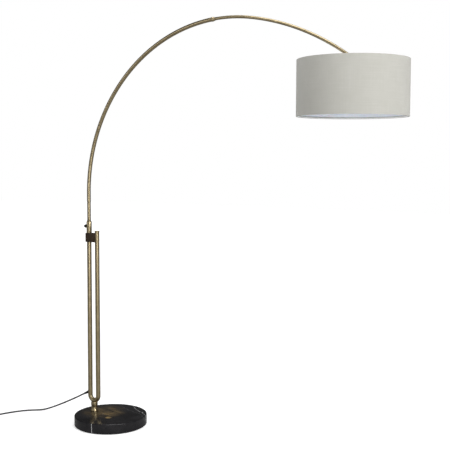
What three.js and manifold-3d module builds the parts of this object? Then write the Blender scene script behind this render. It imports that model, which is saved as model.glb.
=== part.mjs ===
// Arc floor lamp: marble base, brass hairpin stand, a three-piece arc arm that slides and swivels in the
// stand, and a drum shade on a tilting lamp holder. Millimetres, +Z up. The origin is the middle of the
// base's underside, and the arm reaches out along +X.
import * as THREE from 'three';
import { mergeVertices } from 'three/addons/utils/BufferGeometryUtils.js';
import Module from 'manifold-3d';

const wasm = await Module();
wasm.setup();

// ---- Driving dimensions ----

// Gaps
const SEAT_GAP = 0.3;            // between pieces that touch
const RUN_GAP = 0.3;             // radial, between pieces that slide or turn
const BEND_GAP = 0.9;            // radial, round a piece inside a bent rod

// Base
const BASE_DIAMETER = 310;
const MARBLE_THICKNESS = 42;
const MARBLE_CHAMFER = 2;
const FELT_THICKNESS = 2;
const FELT_INSET = 6;
const BOLT_DIAMETER = 8;
const BOLT_HEAD_RADIUS = 7.5;
const BOLT_HEAD_HEIGHT = 5.3;
const WASHER_RADIUS = 14;
const WASHER_THICKNESS = 2.5;
const WASHER_DEPTH = 12;         // of the washer's upper face above the marble's underside

// Neck
const NECK_OFFSET = 91;          // its axis, behind the middle of the base
const NECK_HEIGHT = 39.4;
const NECK_RADIUS = 14.5;
const NECK_WAIST_RADIUS = 12.8;
const NECK_FOOT_RADIUS = 16;
const NECK_SADDLE_DEPTH = 3;     // how far the bend of the hairpin sinks into the neck
const NECK_BOLT_DEPTH = 30;

// Hairpin stand
const LEG_WALL = 1.25;
const LEG_CLEARANCE = 0.75;      // radial, round the rod inside the rear leg
const LEG_SPACING = 44;          // between the axes of the two legs
const FRONT_LEG_RISE = 6;        // of the front leg above the bridge block
const LEG_CAP_THICKNESS = 4.2;
const LEG_CAP_LIP = 0.8;         // beyond the leg's outside
const LEG_CAP_SPIGOT = 10;

// Bridge block
const BLOCK_BOTTOM = 785;
const BLOCK_HEIGHT = 39;
const BLOCK_WALL = 2;            // behind the rear leg
const BLOCK_SIDE_WALL = 1.7;     // beside the rear leg
const BLOCK_WRAP = 8.5;          // how far it reaches round the front leg
const BRIDGE_SCREW_RADIUS = 2;
const BRIDGE_SCREW_RISE = 9;     // above the block's underside
const BRIDGE_SCREW_GRIP = 14;    // length of its thread in the block

// Clamp sleeve and its screw
const SLEEVE_WALL = 1.2;         // round the leg
const SLEEVE_HEIGHT = 47;
const SLEEVE_TAPER = 6;
const SLEEVE_GRIP = 15;          // length of leg inside the sleeve
const LINER_THICKNESS = 1.2;
const LIP_HEIGHT = 4;
const CLAMP_RISE = 28.5;         // screw axis above the sleeve's lower edge
const CLAMP_SCREW_RADIUS = 2.5;
const CLAMP_PAD_THICKNESS = 1.2;
const KNOB_RADIUS = 7.5;
const KNOB_LENGTH = 12;
const KNOB_STANDOFF = 2.2;
const KNOB_BORE_DEPTH = 7;

// Arm
const ROD_DIAMETER = 16;
const ROD_WALL = 1.2;
const ROD_RISE = 118.7;          // straight length of rod above the sleeve
const ROD_STRAIGHT_LENGTH = 396; // all of it, down to the rod's foot inside the rear leg
const ARM_DROP = 100;            // how far the arm can slide down
const BUSH_LENGTH = 24;
const BUSH_WALL = 1.3;
const MAIN_RADIUS = 690;
const MAIN_ANGLE = THREE.MathUtils.degToRad(99.6);
const END_RADIUS = 973;
const END_ANGLE = THREE.MathUtils.degToRad(25.7);
const LOWER_BEND_LENGTH = 294;
const MIDDLE_ROD_LENGTH = 725;
const JOINT_STUD_LENGTH = 40;
const END_ROD_DIAMETER = 12;
const END_ROD_WALL = 1;
const FERRULE_LENGTH = 16;
const FERRULE_SPIGOT = 14;

// Inner lead
const FLEX_RADIUS = 2.4;
const LEG_FLEX_GAP = 20;         // from the gland's axis, and below the rod's lowest place

// Tilt knuckle
const KNUCKLE_REACH = 18;        // from the end of the rod to the pivot
const KNUCKLE_RADIUS = 6.5;
const KNUCKLE_WIDTH = 13;
const TONGUE_THICKNESS = 6;
const FORK_SLOT_DEPTH = 8.5;     // behind the pivot
const FORK_SPIGOT = 12;
const PIN_RADIUS = 2.5;
const PIN_HEAD_RADIUS = 4.6;
const PIN_HEAD_HEIGHT = 2.5;
const NUT_THICKNESS = 3.2;

// Lamp holder, measured down from the pivot
const COLLAR_TOP = 16;
const COLLAR_HEIGHT = 6;
const COLLAR_RADIUS = 8;
const NIPPLE_RADIUS = 5;
const NIPPLE_LENGTH = 7;
const CAP_OVER_SOCKET = 0.5;     // these four are radial, beyond the outside of the socket
const FLANGE_OVER_SOCKET = 4;
const RING_NUT_OVER_SOCKET = 7.5;
const HUB_OVER_SOCKET = 9.5;
const CAP_HEIGHT = 22.7;
const CAP_WALL = 1.7;
const LOCK_NUT_THICKNESS = 3;
const FLANGE_THICKNESS = 3;
const SOCKET_WALL = 4.7;
const SOCKET_CLEARANCE = 1.6;    // radial, round the bulb's cap
const SOCKET_LENGTH = 38;
const SOCKET_SPIGOT = 7;
const INSERT_THICKNESS = 12;
const CONTACT_THICKNESS = 1.8;
const RING_NUT_HEIGHT = 8;

// Bulb
const BULB_CAP_RADIUS = 13.2;
const BULB_CAP_HEIGHT = 27.7;
const BULB_RADIUS = 30;
const BULB_LENGTH = 74;
const BULB_WALL = 1.2;

// Shade
const SHADE_DIAMETER = 400;
const SHADE_HEIGHT = 200;
const SHADE_DROP = 5;            // of its upper edge below the pivot
const FABRIC_THICKNESS = 0.8;
const LINER_SKIN_THICKNESS = 0.5;
const WIRE_RADIUS = 1.5;
const RING_INSET = 2.5;          // of the wire rings from the shade's edges
const RING_CLEARANCE = 0.6;
const SPIDER_ARMS = 3;
const SPIDER_WIRE_RADIUS = 1.6;
const HUB_THICKNESS = 3.2;

// Cord and what is on it
const CORD_DIAMETER = 7;
const GLAND_RISE = 16;           // of its axis at the leg's axis, above the middle of the hairpin's bend
const GLAND_PITCH = THREE.MathUtils.degToRad(26);
const GLAND_LENGTH = 26;
const GLAND_ROOT_RADIUS = 6.5;
const GLAND_TIP_RADIUS = 4.4;
const GLAND_SPIGOT_RADIUS = 4.3;
const SWITCH_LENGTH = 68;
const SWITCH_WIDTH = 38;
const SWITCH_HEIGHT = 21;
const SWITCH_SPLIT = 9;          // height of the lower shell
const SWITCH_CORNER = 10;
const SWITCH_WALL = 2;
const BUTTON_RADIUS = 12;
const BUTTON_HEIGHT = 9;
const BUTTON_PROUD = 4;
const COIL_INNER_RADIUS = 29.5;
const COIL_OUTER_RADIUS = 50.5;
const COIL_BOTTOM = 1;
const COIL_TOP = 14.2;
const TIE_WIDTH = 10;
const TIE_THICKNESS = 0.7;
const TIE_CLEARANCE = 0.8;
const PLUG_LENGTH = 36;
const PLUG_WIDTH = 26;
const PLUG_THICKNESS = 13.7;
const PLUG_RELIEF = 20;
const PLUG_PIN_RADIUS = 2;
const PLUG_PIN_LENGTH = 19;
const PLUG_PIN_SPACING = 18.6;

// Routes of the cord's centreline, point by point
const LEAD_ROUTE = [
  [-146.9, 0, 112.5], [-160, 0, 106.0], [-175, 0, 97.9], [-205, 0, 82.8], [-235, 0, 68.2], [-265, 0, 53.9],
  [-295, 0, 40.3], [-325, -1, 27.2], [-350, -4, 16.9], [-372, -9, 9.3], [-392, -17, 5.0], [-412, -29, 3.5],
  [-432, -45, 3.5], [-450, -65, 3.5], [-466, -89, 3.5], [-480, -116, 3.5], [-492, -143, 3.5],
  [-500, -167, 3.5], [-501.8, -188.9, 3.5], [-497.8, -209.3, 3.5], [-490.3, -225.6, 4.3],
  [-483.1, -235.7, 5.5],
];
const SWITCH_PLACE = [-457.7, -259.8];
const SWITCH_HEADING = THREE.MathUtils.degToRad(-43.5);
const SWITCH_LEAD_ROUTE = [
  [-432.2, -284.0, 5.5], [-424.8, -293.7, 4.4], [-420.8, -308.4, 3.5], [-424.8, -323.2, 3.5],
  [-435.6, -334.0, 3.5], [-450.3, -339.8, 3.5], [-473.1, -344.4, 3.5], [-494.2, -349.2, 3.5],
  [-519.2, -351.8, 3.5],
];
const COIL_PLACE = [-526.6, -297.7];
const TIE_HEADING = THREE.MathUtils.degToRad(83.5);
const PLUG_LEAD_ROUTE = [
  [-557.9, -252.8, 3.5], [-552.2, -236.1, 3.5], [-555.8, -221.0, 4.4], [-566.7, -208.2, 6.5],
  [-575.1, -200.2, 6.85],
];
const PLUG_HEADING = THREE.MathUtils.degToRad(136.5);

// ---- Places that follow from the dimensions ----

const marbleBottom = FELT_THICKNESS + SEAT_GAP;
const marbleTop = marbleBottom + MARBLE_THICKNESS;
const neckBottom = marbleTop + SEAT_GAP;
const neckTop = neckBottom + NECK_HEIGHT;
const rodRadius = ROD_DIAMETER / 2;
const rodBore = rodRadius - ROD_WALL;
const legBore = rodRadius + LEG_CLEARANCE;
const legRadius = legBore + LEG_WALL;
const rearLegX = -NECK_OFFSET - LEG_SPACING / 2;
const frontLegX = -NECK_OFFSET + LEG_SPACING / 2;
const bendCentreZ = neckTop - NECK_SADDLE_DEPTH + LEG_SPACING / 2 + legRadius;
const blockTop = BLOCK_BOTTOM + BLOCK_HEIGHT;
const frontLegTop = blockTop + FRONT_LEG_RISE;
const sleeveBottom = blockTop + SEAT_GAP;
const sleeveTop = sleeveBottom + SLEEVE_HEIGHT + SLEEVE_TAPER;
const rearLegTop = sleeveBottom + SLEEVE_GRIP;
const clampZ = sleeveBottom + CLAMP_RISE;
const bendStartZ = sleeveTop + ROD_RISE;
const rodFootZ = bendStartZ - ROD_STRAIGHT_LENGTH;
const glandZ = bendCentreZ + GLAND_RISE;
const endRodRadius = END_ROD_DIAMETER / 2;
const endRodBore = endRodRadius - END_ROD_WALL;
const mainLength = MAIN_RADIUS * MAIN_ANGLE;
const ferruleStart = LOWER_BEND_LENGTH + SEAT_GAP + MIDDLE_ROD_LENGTH + SEAT_GAP;
const endRodStart = ferruleStart + FERRULE_LENGTH + SEAT_GAP;
const endRodEnd = mainLength + END_RADIUS * END_ANGLE;
const socketBore = BULB_CAP_RADIUS + SOCKET_CLEARANCE;
const socketRadius = socketBore + SOCKET_WALL;

// ---- Solids ----

function toSolid(geometry) {
  const bare = geometry.index ? geometry.toNonIndexed() : geometry.clone();
  bare.deleteAttribute('normal');
  bare.deleteAttribute('uv');
  const merged = mergeVertices(bare, 1e-4);
  const vertProperties = new Float32Array(merged.attributes.position.array);
  const triVerts = new Uint32Array(merged.index.array);
  return new wasm.Manifold(new wasm.Mesh({ numProp: 3, vertProperties, triVerts }));
}

function toGeometry(solid) {
  const mesh = solid.getMesh();
  const geometry = new THREE.BufferGeometry();
  geometry.setAttribute('position', new THREE.BufferAttribute(mesh.vertProperties, 3));
  geometry.setIndex(new THREE.BufferAttribute(mesh.triVerts, 1));
  geometry.computeVertexNormals();
  return geometry;
}

function cut(geometry, ...tools) {
  let solid = toSolid(geometry);
  for (const tool of tools) {
    solid = solid.subtract(toSolid(tool));
  }
  return toGeometry(solid);
}

function join(geometry, ...others) {
  let solid = toSolid(geometry);
  for (const other of others) {
    solid = solid.add(toSolid(other));
  }
  return toGeometry(solid);
}

// A turned piece: its outline is [radius, height] pairs, and its axis is Z.
function turned(outline, sides = 20) {
  const points = outline.map(([radius, height]) => new THREE.Vector2(radius, height));
  const closed = outline[0][0] > 0;
  if (closed) {
    points.push(points[0].clone());
  }
  if (THREE.ShapeUtils.area(points) <= 0) {
    points.reverse();
  }
  return new THREE.LatheGeometry(points, sides).rotateX(Math.PI / 2);
}

function disc(radius, bottom, top, sides = 20) {
  return turned([[0, bottom], [radius, bottom], [radius, top], [0, top]], sides);
}

function ring(outer, inner, bottom, top, sides = 20) {
  return turned([[inner, bottom], [outer, bottom], [outer, top], [inner, top]], sides);
}

function circlePoints(radius, sides) {
  return Array.from({ length: sides }, (unused, index) => {
    const angle = index * 2 * Math.PI / sides;
    return new THREE.Vector2(radius * Math.cos(angle), radius * Math.sin(angle));
  });
}

function tubeSection(outer, inner, sides) {
  const section = new THREE.Shape(circlePoints(outer, sides));
  if (inner > 0) {
    section.holes.push(new THREE.Path(circlePoints(inner, sides).reverse()));
  }
  return section;
}

// A line made of runs, each cut into its own number of steps, so that a straight run takes only one.
class RunLine extends THREE.Curve {
  constructor(runs) {
    super();
    this.runs = runs;
    this.steps = runs.reduce((sum, run) => sum + run.steps, 0);
  }

  getPoint(t, target = new THREE.Vector3()) {
    let place = t * this.steps;
    let run = this.runs[0];
    for (const next of this.runs.slice(1)) {
      if (place <= run.steps) {
        break;
      }
      place -= run.steps;
      run = next;
    }
    return target.copy(run.at(place / run.steps));
  }

  getUtoTmapping(u) {
    return u;
  }
}

function straightRun(from, to) {
  return { steps: 1, at: (share) => from.clone().lerp(to, share) };
}

function sweep(section, line, steps = line.steps) {
  return new THREE.ExtrudeGeometry(section, { steps, extrudePath: line, bevelEnabled: false });
}

// A geometry made about +Z from the origin, moved to a place and turned to point along a direction.
function aim(geometry, place, direction) {
  const up = new THREE.Vector3(0, 0, 1);
  const turn = new THREE.Quaternion().setFromUnitVectors(up, direction.clone().normalize());
  return geometry.applyQuaternion(turn).translate(place.x, place.y, place.z);
}

function rod(radius, from, to, sides = 12) {
  return aim(disc(radius, 0, from.distanceTo(to), sides), from, to.clone().sub(from));
}

function point(x, y, z) {
  return new THREE.Vector3(x, y, z);
}

// ---- Finishes ----

const FINISHES = {
  antique_brass: { color: 0x9c8558, roughness: 0.34, metalness: 1 },
  black_marble: { color: 0x1c1b1e, roughness: 0.12, metalness: 0 },
  black_felt: { color: 0x1a1a1a, roughness: 0.95, metalness: 0 },
  zinc_steel: { color: 0xa8abad, roughness: 0.4, metalness: 1 },
  bronze_block: { color: 0x2c2019, roughness: 0.5, metalness: 0.3 },
  black_plastic: { color: 0x131313, roughness: 0.4, metalness: 0 },
  white_nylon: { color: 0xe4e2da, roughness: 0.6, metalness: 0 },
  grey_cord: { color: 0x3c3c3e, roughness: 0.6, metalness: 0 },
  white_wire: { color: 0xe9e9e6, roughness: 0.45, metalness: 0 },
  greige_linen: { color: 0xbcb9ae, roughness: 0.9, metalness: 0 },
  white_liner: { color: 0xe8eaf0, roughness: 0.5, metalness: 0 },
  white_ceramic: { color: 0xeeeeea, roughness: 0.3, metalness: 0 },
  opal_glass: { color: 0xf4f3ee, roughness: 0.2, metalness: 0 },
};

function add(group, name, geometry, finish) {
  const mesh = new THREE.Mesh(geometry, new THREE.MeshStandardMaterial(FINISHES[finish]));
  mesh.name = name;
  group.add(mesh);
  return mesh;
}

// ---- Base ----

function buildBase() {
  const base = new THREE.Group();
  const radius = BASE_DIAMETER / 2;
  const washerTop = marbleBottom + WASHER_DEPTH;
  const washerBottom = washerTop - WASHER_THICKNESS;
  const headTop = washerBottom - SEAT_GAP;
  const shankRadius = BOLT_DIAMETER / 2;
  const boltTip = neckBottom + NECK_BOLT_DEPTH;

  add(base, 'base_felt', disc(radius - FELT_INSET, 0, FELT_THICKNESS, 48), 'black_felt');

  const slab = turned([
    [0, marbleBottom], [radius - MARBLE_CHAMFER, marbleBottom], [radius, marbleBottom + MARBLE_CHAMFER],
    [radius, marbleTop - MARBLE_CHAMFER], [radius - MARBLE_CHAMFER, marbleTop], [0, marbleTop],
  ], 48);
  const boltHole = disc(shankRadius + RUN_GAP, 0, marbleTop + 1, 16).translate(-NECK_OFFSET, 0, 0);
  const washerPocket = disc(WASHER_RADIUS + 1, 0, washerTop + SEAT_GAP, 16).translate(-NECK_OFFSET, 0, 0);
  add(base, 'marble_base', cut(slab, boltHole, washerPocket), 'black_marble');

  const washer = ring(WASHER_RADIUS, shankRadius + RUN_GAP, washerBottom, washerTop);
  add(base, 'base_washer', washer, 'zinc_steel').position.x = -NECK_OFFSET;

  const bolt = join(
    disc(BOLT_HEAD_RADIUS, headTop - BOLT_HEAD_HEIGHT, headTop, 6),
    disc(shankRadius, headTop - 1, boltTip, 16),
  );
  add(base, 'base_bolt', bolt, 'zinc_steel').position.x = -NECK_OFFSET;
  return base;
}

// The neck is turned brass: a round head over a waist and a wider foot. The hairpin's bend is let into its
// head.
function neckOutline() {
  const waistZ = neckBottom + 0.42 * NECK_HEIGHT;
  const headZ = neckBottom + 0.62 * NECK_HEIGHT;
  return [
    [0, neckBottom], [NECK_FOOT_RADIUS, neckBottom], [NECK_FOOT_RADIUS, neckBottom + 2.5],
    [NECK_FOOT_RADIUS - 1.6, neckBottom + 7], [NECK_WAIST_RADIUS, waistZ], [NECK_WAIST_RADIUS, waistZ + 2],
    [NECK_RADIUS - 0.8, headZ], [NECK_RADIUS, headZ + 1], [NECK_RADIUS, neckTop - 1],
    [NECK_RADIUS - 1, neckTop], [0, neckTop],
  ];
}

function buildNeck() {
  const boltHole = disc(BOLT_DIAMETER / 2 + RUN_GAP, 0, neckBottom + NECK_BOLT_DEPTH + SEAT_GAP, 12);
  const saddle = hairpinSweep(legRadius + SEAT_GAP, 0).translate(NECK_OFFSET, 0, 0);
  return cut(turned(neckOutline()), boltHole, saddle);
}

// ---- Hairpin stand ----

function hairpinSweep(outer, inner) {
  const bendRadius = LEG_SPACING / 2;
  const bend = {
    steps: 14,
    at: (share) => point(
      -NECK_OFFSET - bendRadius * Math.cos(Math.PI * share),
      0,
      bendCentreZ - bendRadius * Math.sin(Math.PI * share),
    ),
  };
  const line = new RunLine([
    straightRun(point(rearLegX, 0, rearLegTop), point(rearLegX, 0, bendCentreZ)),
    bend,
    straightRun(point(frontLegX, 0, bendCentreZ), point(frontLegX, 0, frontLegTop)),
  ]);
  return sweep(tubeSection(outer, inner, 16), line);
}

const glandRoot = point(rearLegX, 0, glandZ);
const glandDirection = point(-Math.cos(GLAND_PITCH), 0, -Math.sin(GLAND_PITCH));
const glandStart = legRadius / Math.cos(GLAND_PITCH);
const bridgeScrewZ = BLOCK_BOTTOM + BRIDGE_SCREW_RISE;

function bridgeScrewHole(radius) {
  const tip = frontLegX - legRadius - SEAT_GAP - BRIDGE_SCREW_GRIP;
  return rod(radius, point(frontLegX + legRadius + 2, 0, bridgeScrewZ), point(tip, 0, bridgeScrewZ));
}

function buildStand() {
  const stand = new THREE.Group();
  add(stand, 'base_neck', buildNeck(), 'antique_brass').position.x = -NECK_OFFSET;

  const glandDrill = disc(GLAND_SPIGOT_RADIUS + RUN_GAP, 0, glandStart + 5, 16);
  const glandHole = aim(glandDrill, glandRoot, glandDirection);
  const screwHole = bridgeScrewHole(BRIDGE_SCREW_RADIUS + RUN_GAP);
  const hairpin = cut(hairpinSweep(legRadius, legBore), glandHole, screwHole);
  add(stand, 'hairpin_tube', hairpin, 'antique_brass');

  const capBottom = frontLegTop + SEAT_GAP;
  const capTop = capBottom + LEG_CAP_THICKNESS;
  const capRadius = legRadius + LEG_CAP_LIP;
  const legCap = turned([
    [0, capBottom - LEG_CAP_SPIGOT], [legBore - RUN_GAP, capBottom - LEG_CAP_SPIGOT],
    [legBore - RUN_GAP, capBottom], [capRadius, capBottom], [capRadius, capTop - 1],
    [capRadius - 1, capTop], [0, capTop],
  ]);
  add(stand, 'leg_cap', legCap, 'antique_brass').position.x = frontLegX;

  const blockStart = rearLegX - legRadius - SEAT_GAP - BLOCK_WALL;
  const blockEnd = frontLegX - legRadius + BLOCK_WRAP;
  const blockDepth = 2 * (legRadius + SEAT_GAP + BLOCK_SIDE_WALL);
  const blank = new THREE.BoxGeometry(blockEnd - blockStart, blockDepth, BLOCK_HEIGHT);
  blank.translate((blockStart + blockEnd) / 2, 0, BLOCK_BOTTOM + BLOCK_HEIGHT / 2);
  const legHoles = [rearLegX, frontLegX].map(
    (x) => disc(legRadius + SEAT_GAP, BLOCK_BOTTOM - 1, blockTop + 1, 16).translate(x, 0, 0),
  );
  const block = cut(blank, ...legHoles, bridgeScrewHole(BRIDGE_SCREW_RADIUS + RUN_GAP));
  add(stand, 'bridge_block', block, 'bronze_block');

  const screwFace = frontLegX + legRadius + SEAT_GAP;
  const bridgeScrew = join(
    rod(
      BRIDGE_SCREW_RADIUS + 1.6,
      point(screwFace, 0, bridgeScrewZ),
      point(screwFace + 1.8, 0, bridgeScrewZ),
      16,
    ),
    rod(
      BRIDGE_SCREW_RADIUS,
      point(screwFace + 1, 0, bridgeScrewZ),
      point(frontLegX - legRadius - BRIDGE_SCREW_GRIP, 0, bridgeScrewZ),
    ),
  );
  add(stand, 'bridge_screw', bridgeScrew, 'antique_brass');
  return stand;
}

// ---- Clamp: sleeve, liner, pressure pad, screw and knob ----

function buildClamp() {
  const clamp = new THREE.Group();
  clamp.position.x = rearLegX;
  const legSeat = legRadius + SEAT_GAP;
  const sleeveRadius = legSeat + SLEEVE_WALL;
  const linerInner = rodRadius + RUN_GAP;
  const linerOuter = linerInner + LINER_THICKNESS;
  const linerSeat = linerOuter + SEAT_GAP;
  const linerBottom = rearLegTop + 2 * SEAT_GAP;
  const linerTop = sleeveTop - LIP_HEIGHT - SEAT_GAP;
  const shoulder = sleeveTop - SLEEVE_TAPER;
  const pastSleeve = sleeveRadius + 1;
  const screwHole = rod(
    CLAMP_SCREW_RADIUS + RUN_GAP,
    point(-rodRadius, 0, clampZ),
    point(-pastSleeve, 0, clampZ),
  );

  const sleeve = turned([
    [legSeat, sleeveBottom], [sleeveRadius, sleeveBottom], [sleeveRadius, shoulder],
    [linerInner + 1.2, sleeveTop], [linerInner, sleeveTop], [linerInner, sleeveTop - LIP_HEIGHT],
    [linerSeat, sleeveTop - LIP_HEIGHT], [linerSeat, rearLegTop + SEAT_GAP], [legSeat, rearLegTop + SEAT_GAP],
  ]);
  add(clamp, 'clamp_sleeve', cut(sleeve, screwHole), 'antique_brass');

  const liner = ring(linerOuter, linerInner, linerBottom, linerTop);
  add(clamp, 'sleeve_liner', cut(liner, screwHole), 'white_nylon');

  const padInner = linerInner;
  const padOuter = padInner + CLAMP_PAD_THICKNESS;
  const pad = rod(CLAMP_SCREW_RADIUS - 0.1, point(-padInner, 0, clampZ), point(-padOuter, 0, clampZ));
  add(clamp, 'clamp_pad', pad, 'antique_brass');

  const knobStart = sleeveRadius + KNOB_STANDOFF;
  const screwEnd = knobStart + KNOB_BORE_DEPTH - SEAT_GAP;
  const screw = rod(CLAMP_SCREW_RADIUS, point(-padOuter - SEAT_GAP, 0, clampZ), point(-screwEnd, 0, clampZ));
  add(clamp, 'clamp_screw', screw, 'zinc_steel');

  const boreRadius = CLAMP_SCREW_RADIUS + SEAT_GAP;
  const knob = turned([
    [boreRadius, 0], [0.62 * KNOB_RADIUS, 0], [0.9 * KNOB_RADIUS, 0.18 * KNOB_LENGTH],
    [KNOB_RADIUS, 0.42 * KNOB_LENGTH], [0.96 * KNOB_RADIUS, 0.66 * KNOB_LENGTH],
    [0.78 * KNOB_RADIUS, 0.88 * KNOB_LENGTH], [0.45 * KNOB_RADIUS, KNOB_LENGTH], [0, KNOB_LENGTH],
    [0, KNOB_BORE_DEPTH], [boreRadius, KNOB_BORE_DEPTH],
  ]);
  aim(knob, point(-knobStart, 0, clampZ), point(-1, 0, 0));
  add(clamp, 'clamp_knob', knob, 'black_plastic');
  return clamp;
}

// ---- Arm ----

// A point on the arm's centreline, a length along it from where the bend starts. Less than nothing is below
// it.
function armAngle(length) {
  if (length <= 0) {
    return 0;
  }
  if (length <= mainLength) {
    return length / MAIN_RADIUS;
  }
  return MAIN_ANGLE + (length - mainLength) / END_RADIUS;
}

function armPoint(length) {
  const angle = armAngle(length);
  const centre = point(rearLegX + MAIN_RADIUS, 0, bendStartZ);
  let radius = MAIN_RADIUS;
  if (length > mainLength) {
    const step = MAIN_RADIUS - END_RADIUS;
    centre.add(point(-step * Math.cos(MAIN_ANGLE), 0, step * Math.sin(MAIN_ANGLE)));
    radius = END_RADIUS;
  }
  const onArc = centre.add(point(-radius * Math.cos(angle), 0, radius * Math.sin(angle)));
  return length < 0 ? onArc.add(point(0, 0, length)) : onArc;
}

function armDirection(length) {
  const angle = armAngle(length);
  return point(Math.sin(angle), 0, Math.cos(angle));
}

function armRun(from, to, steps) {
  return { steps, at: (share) => armPoint(from + (to - from) * share) };
}

const ARM_STEP = 50;             // length of arc to one step of a swept piece

function armSweep(from, to, outer, inner, sides = 16) {
  const runs = [];
  const bendFrom = Math.max(from, 0);
  if (from < 0) {
    runs.push(armRun(from, 0, 1));
  }
  runs.push(armRun(bendFrom, to, Math.max(1, Math.round((to - bendFrom) / ARM_STEP))));
  return sweep(tubeSection(outer, inner, sides), new RunLine(runs));
}

function buildArm() {
  const arm = new THREE.Group();
  const rodFoot = rodFootZ - bendStartZ;
  const middleStart = LOWER_BEND_LENGTH + SEAT_GAP;
  const middleEnd = middleStart + MIDDLE_ROD_LENGTH;
  const flexRoom = FLEX_RADIUS + BEND_GAP;

  const bushOuter = legBore - RUN_GAP;
  const bushSeat = rodRadius - BUSH_WALL;
  const bush = turned([
    [bushSeat - BUSH_WALL, rodFootZ - BUSH_LENGTH], [bushOuter, rodFootZ - BUSH_LENGTH],
    [bushOuter, rodFootZ - SEAT_GAP], [bushSeat - BUSH_WALL, rodFootZ - SEAT_GAP],
  ]);
  add(arm, 'guide_bush', bush, 'white_nylon').position.x = rearLegX;

  add(arm, 'lower_rod', armSweep(rodFoot, LOWER_BEND_LENGTH, rodRadius, rodBore), 'antique_brass');
  add(arm, 'middle_rod', armSweep(middleStart, middleEnd, rodRadius, rodBore), 'antique_brass');
  add(arm, 'end_rod', armSweep(endRodStart, endRodEnd, endRodRadius, endRodBore), 'antique_brass');

  const studStart = LOWER_BEND_LENGTH - JOINT_STUD_LENGTH / 2;
  const stud = armSweep(studStart, studStart + JOINT_STUD_LENGTH, rodBore - BEND_GAP, flexRoom, 16);
  add(arm, 'joint_stud', stud, 'zinc_steel');

  // The ferrule steps the arm down from the middle rod to the end rod, with a spigot into each.
  const collarRadius = rodRadius + 0.8;
  const ferrule = turned([
    [flexRoom, -FERRULE_SPIGOT], [rodBore - BEND_GAP, -FERRULE_SPIGOT], [rodBore - BEND_GAP, 0],
    [collarRadius - 0.6, 0], [collarRadius, 0.6], [collarRadius, 0.55 * FERRULE_LENGTH],
    [endRodRadius + 1, 0.7 * FERRULE_LENGTH],
    [endRodRadius + 1, FERRULE_LENGTH - 0.5], [endRodRadius + 0.5, FERRULE_LENGTH],
    [endRodBore - BEND_GAP, FERRULE_LENGTH], [endRodBore - BEND_GAP, FERRULE_LENGTH + FERRULE_SPIGOT],
    [flexRoom, FERRULE_LENGTH + FERRULE_SPIGOT],
  ]);
  aim(ferrule, armPoint(ferruleStart), armDirection(ferruleStart + FERRULE_LENGTH / 2));
  add(arm, 'joint_ferrule', ferrule, 'antique_brass');

  const flexEnd = endRodEnd - FORK_SPIGOT - 4;
  add(arm, 'arm_flex', armSweep(rodFoot + 6, flexEnd, FLEX_RADIUS, 0, 8), 'grey_cord');
  return arm;
}

function buildLegFlex() {
  return disc(FLEX_RADIUS, glandZ + LEG_FLEX_GAP, rodFootZ - ARM_DROP - LEG_FLEX_GAP, 8);
}

// ---- Tilt knuckle ----

// The outline of an eye: a round end about the pivot and a shank that runs back from it along -X.
function eyeOutline(radius, shank, halfShank = radius) {
  const outline = new THREE.Shape();
  outline.moveTo(-shank, -halfShank);
  outline.lineTo(0, -radius);
  outline.absarc(0, 0, radius, -Math.PI / 2, Math.PI / 2, false);
  outline.lineTo(-shank, halfShank);
  outline.closePath();
  return outline;
}

// The eye's outline given a thickness along Y, with the pivot on the Y axis.
function eyePlate(radius, shank, thickness) {
  const plate = new THREE.ExtrudeGeometry(eyeOutline(radius, shank), {
    depth: thickness, bevelEnabled: false, curveSegments: 8,
  });
  return plate.translate(0, 0, -thickness / 2).rotateX(Math.PI / 2);
}

const pinHole = () => rod(PIN_RADIUS + RUN_GAP, point(0, -KNUCKLE_WIDTH, 0), point(0, KNUCKLE_WIDTH, 0), 16);

// Everything here is about the pivot, with the rod coming in along +X.
function buildKnuckle() {
  const knuckle = new THREE.Group();
  const shank = KNUCKLE_REACH - SEAT_GAP;
  const slotWidth = TONGUE_THICKNESS + 2 * RUN_GAP;
  const slotLength = FORK_SLOT_DEPTH + KNUCKLE_RADIUS + 2;
  const slot = new THREE.BoxGeometry(slotLength, slotWidth, 4 * KNUCKLE_RADIUS);
  slot.translate(slotLength / 2 - FORK_SLOT_DEPTH, 0, 0);
  const spigot = rod(
    endRodBore - RUN_GAP,
    point(-KNUCKLE_REACH - FORK_SPIGOT, 0, 0),
    point(-shank + 1, 0, 0),
    16,
  );
  const fork = cut(join(eyePlate(KNUCKLE_RADIUS, shank, KNUCKLE_WIDTH), spigot), slot, pinHole());
  add(knuckle, 'knuckle_fork', fork, 'antique_brass');

  const face = KNUCKLE_WIDTH / 2 + SEAT_GAP;
  const pinEnd = face + NUT_THICKNESS + 0.8;
  const pin = join(
    rod(PIN_HEAD_RADIUS, point(0, -face - PIN_HEAD_HEIGHT, 0), point(0, -face, 0), 16),
    rod(PIN_RADIUS, point(0, -face - 1, 0), point(0, pinEnd, 0), 16),
  );
  add(knuckle, 'knuckle_pin', pin, 'antique_brass');

  const nutBlank = rod(PIN_HEAD_RADIUS, point(0, face, 0), point(0, face + NUT_THICKNESS, 0), 6);
  add(knuckle, 'knuckle_nut', cut(nutBlank, pinHole()), 'antique_brass');
  return knuckle;
}

// ---- Lamp holder, bulb and shade, about the pivot ----

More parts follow.
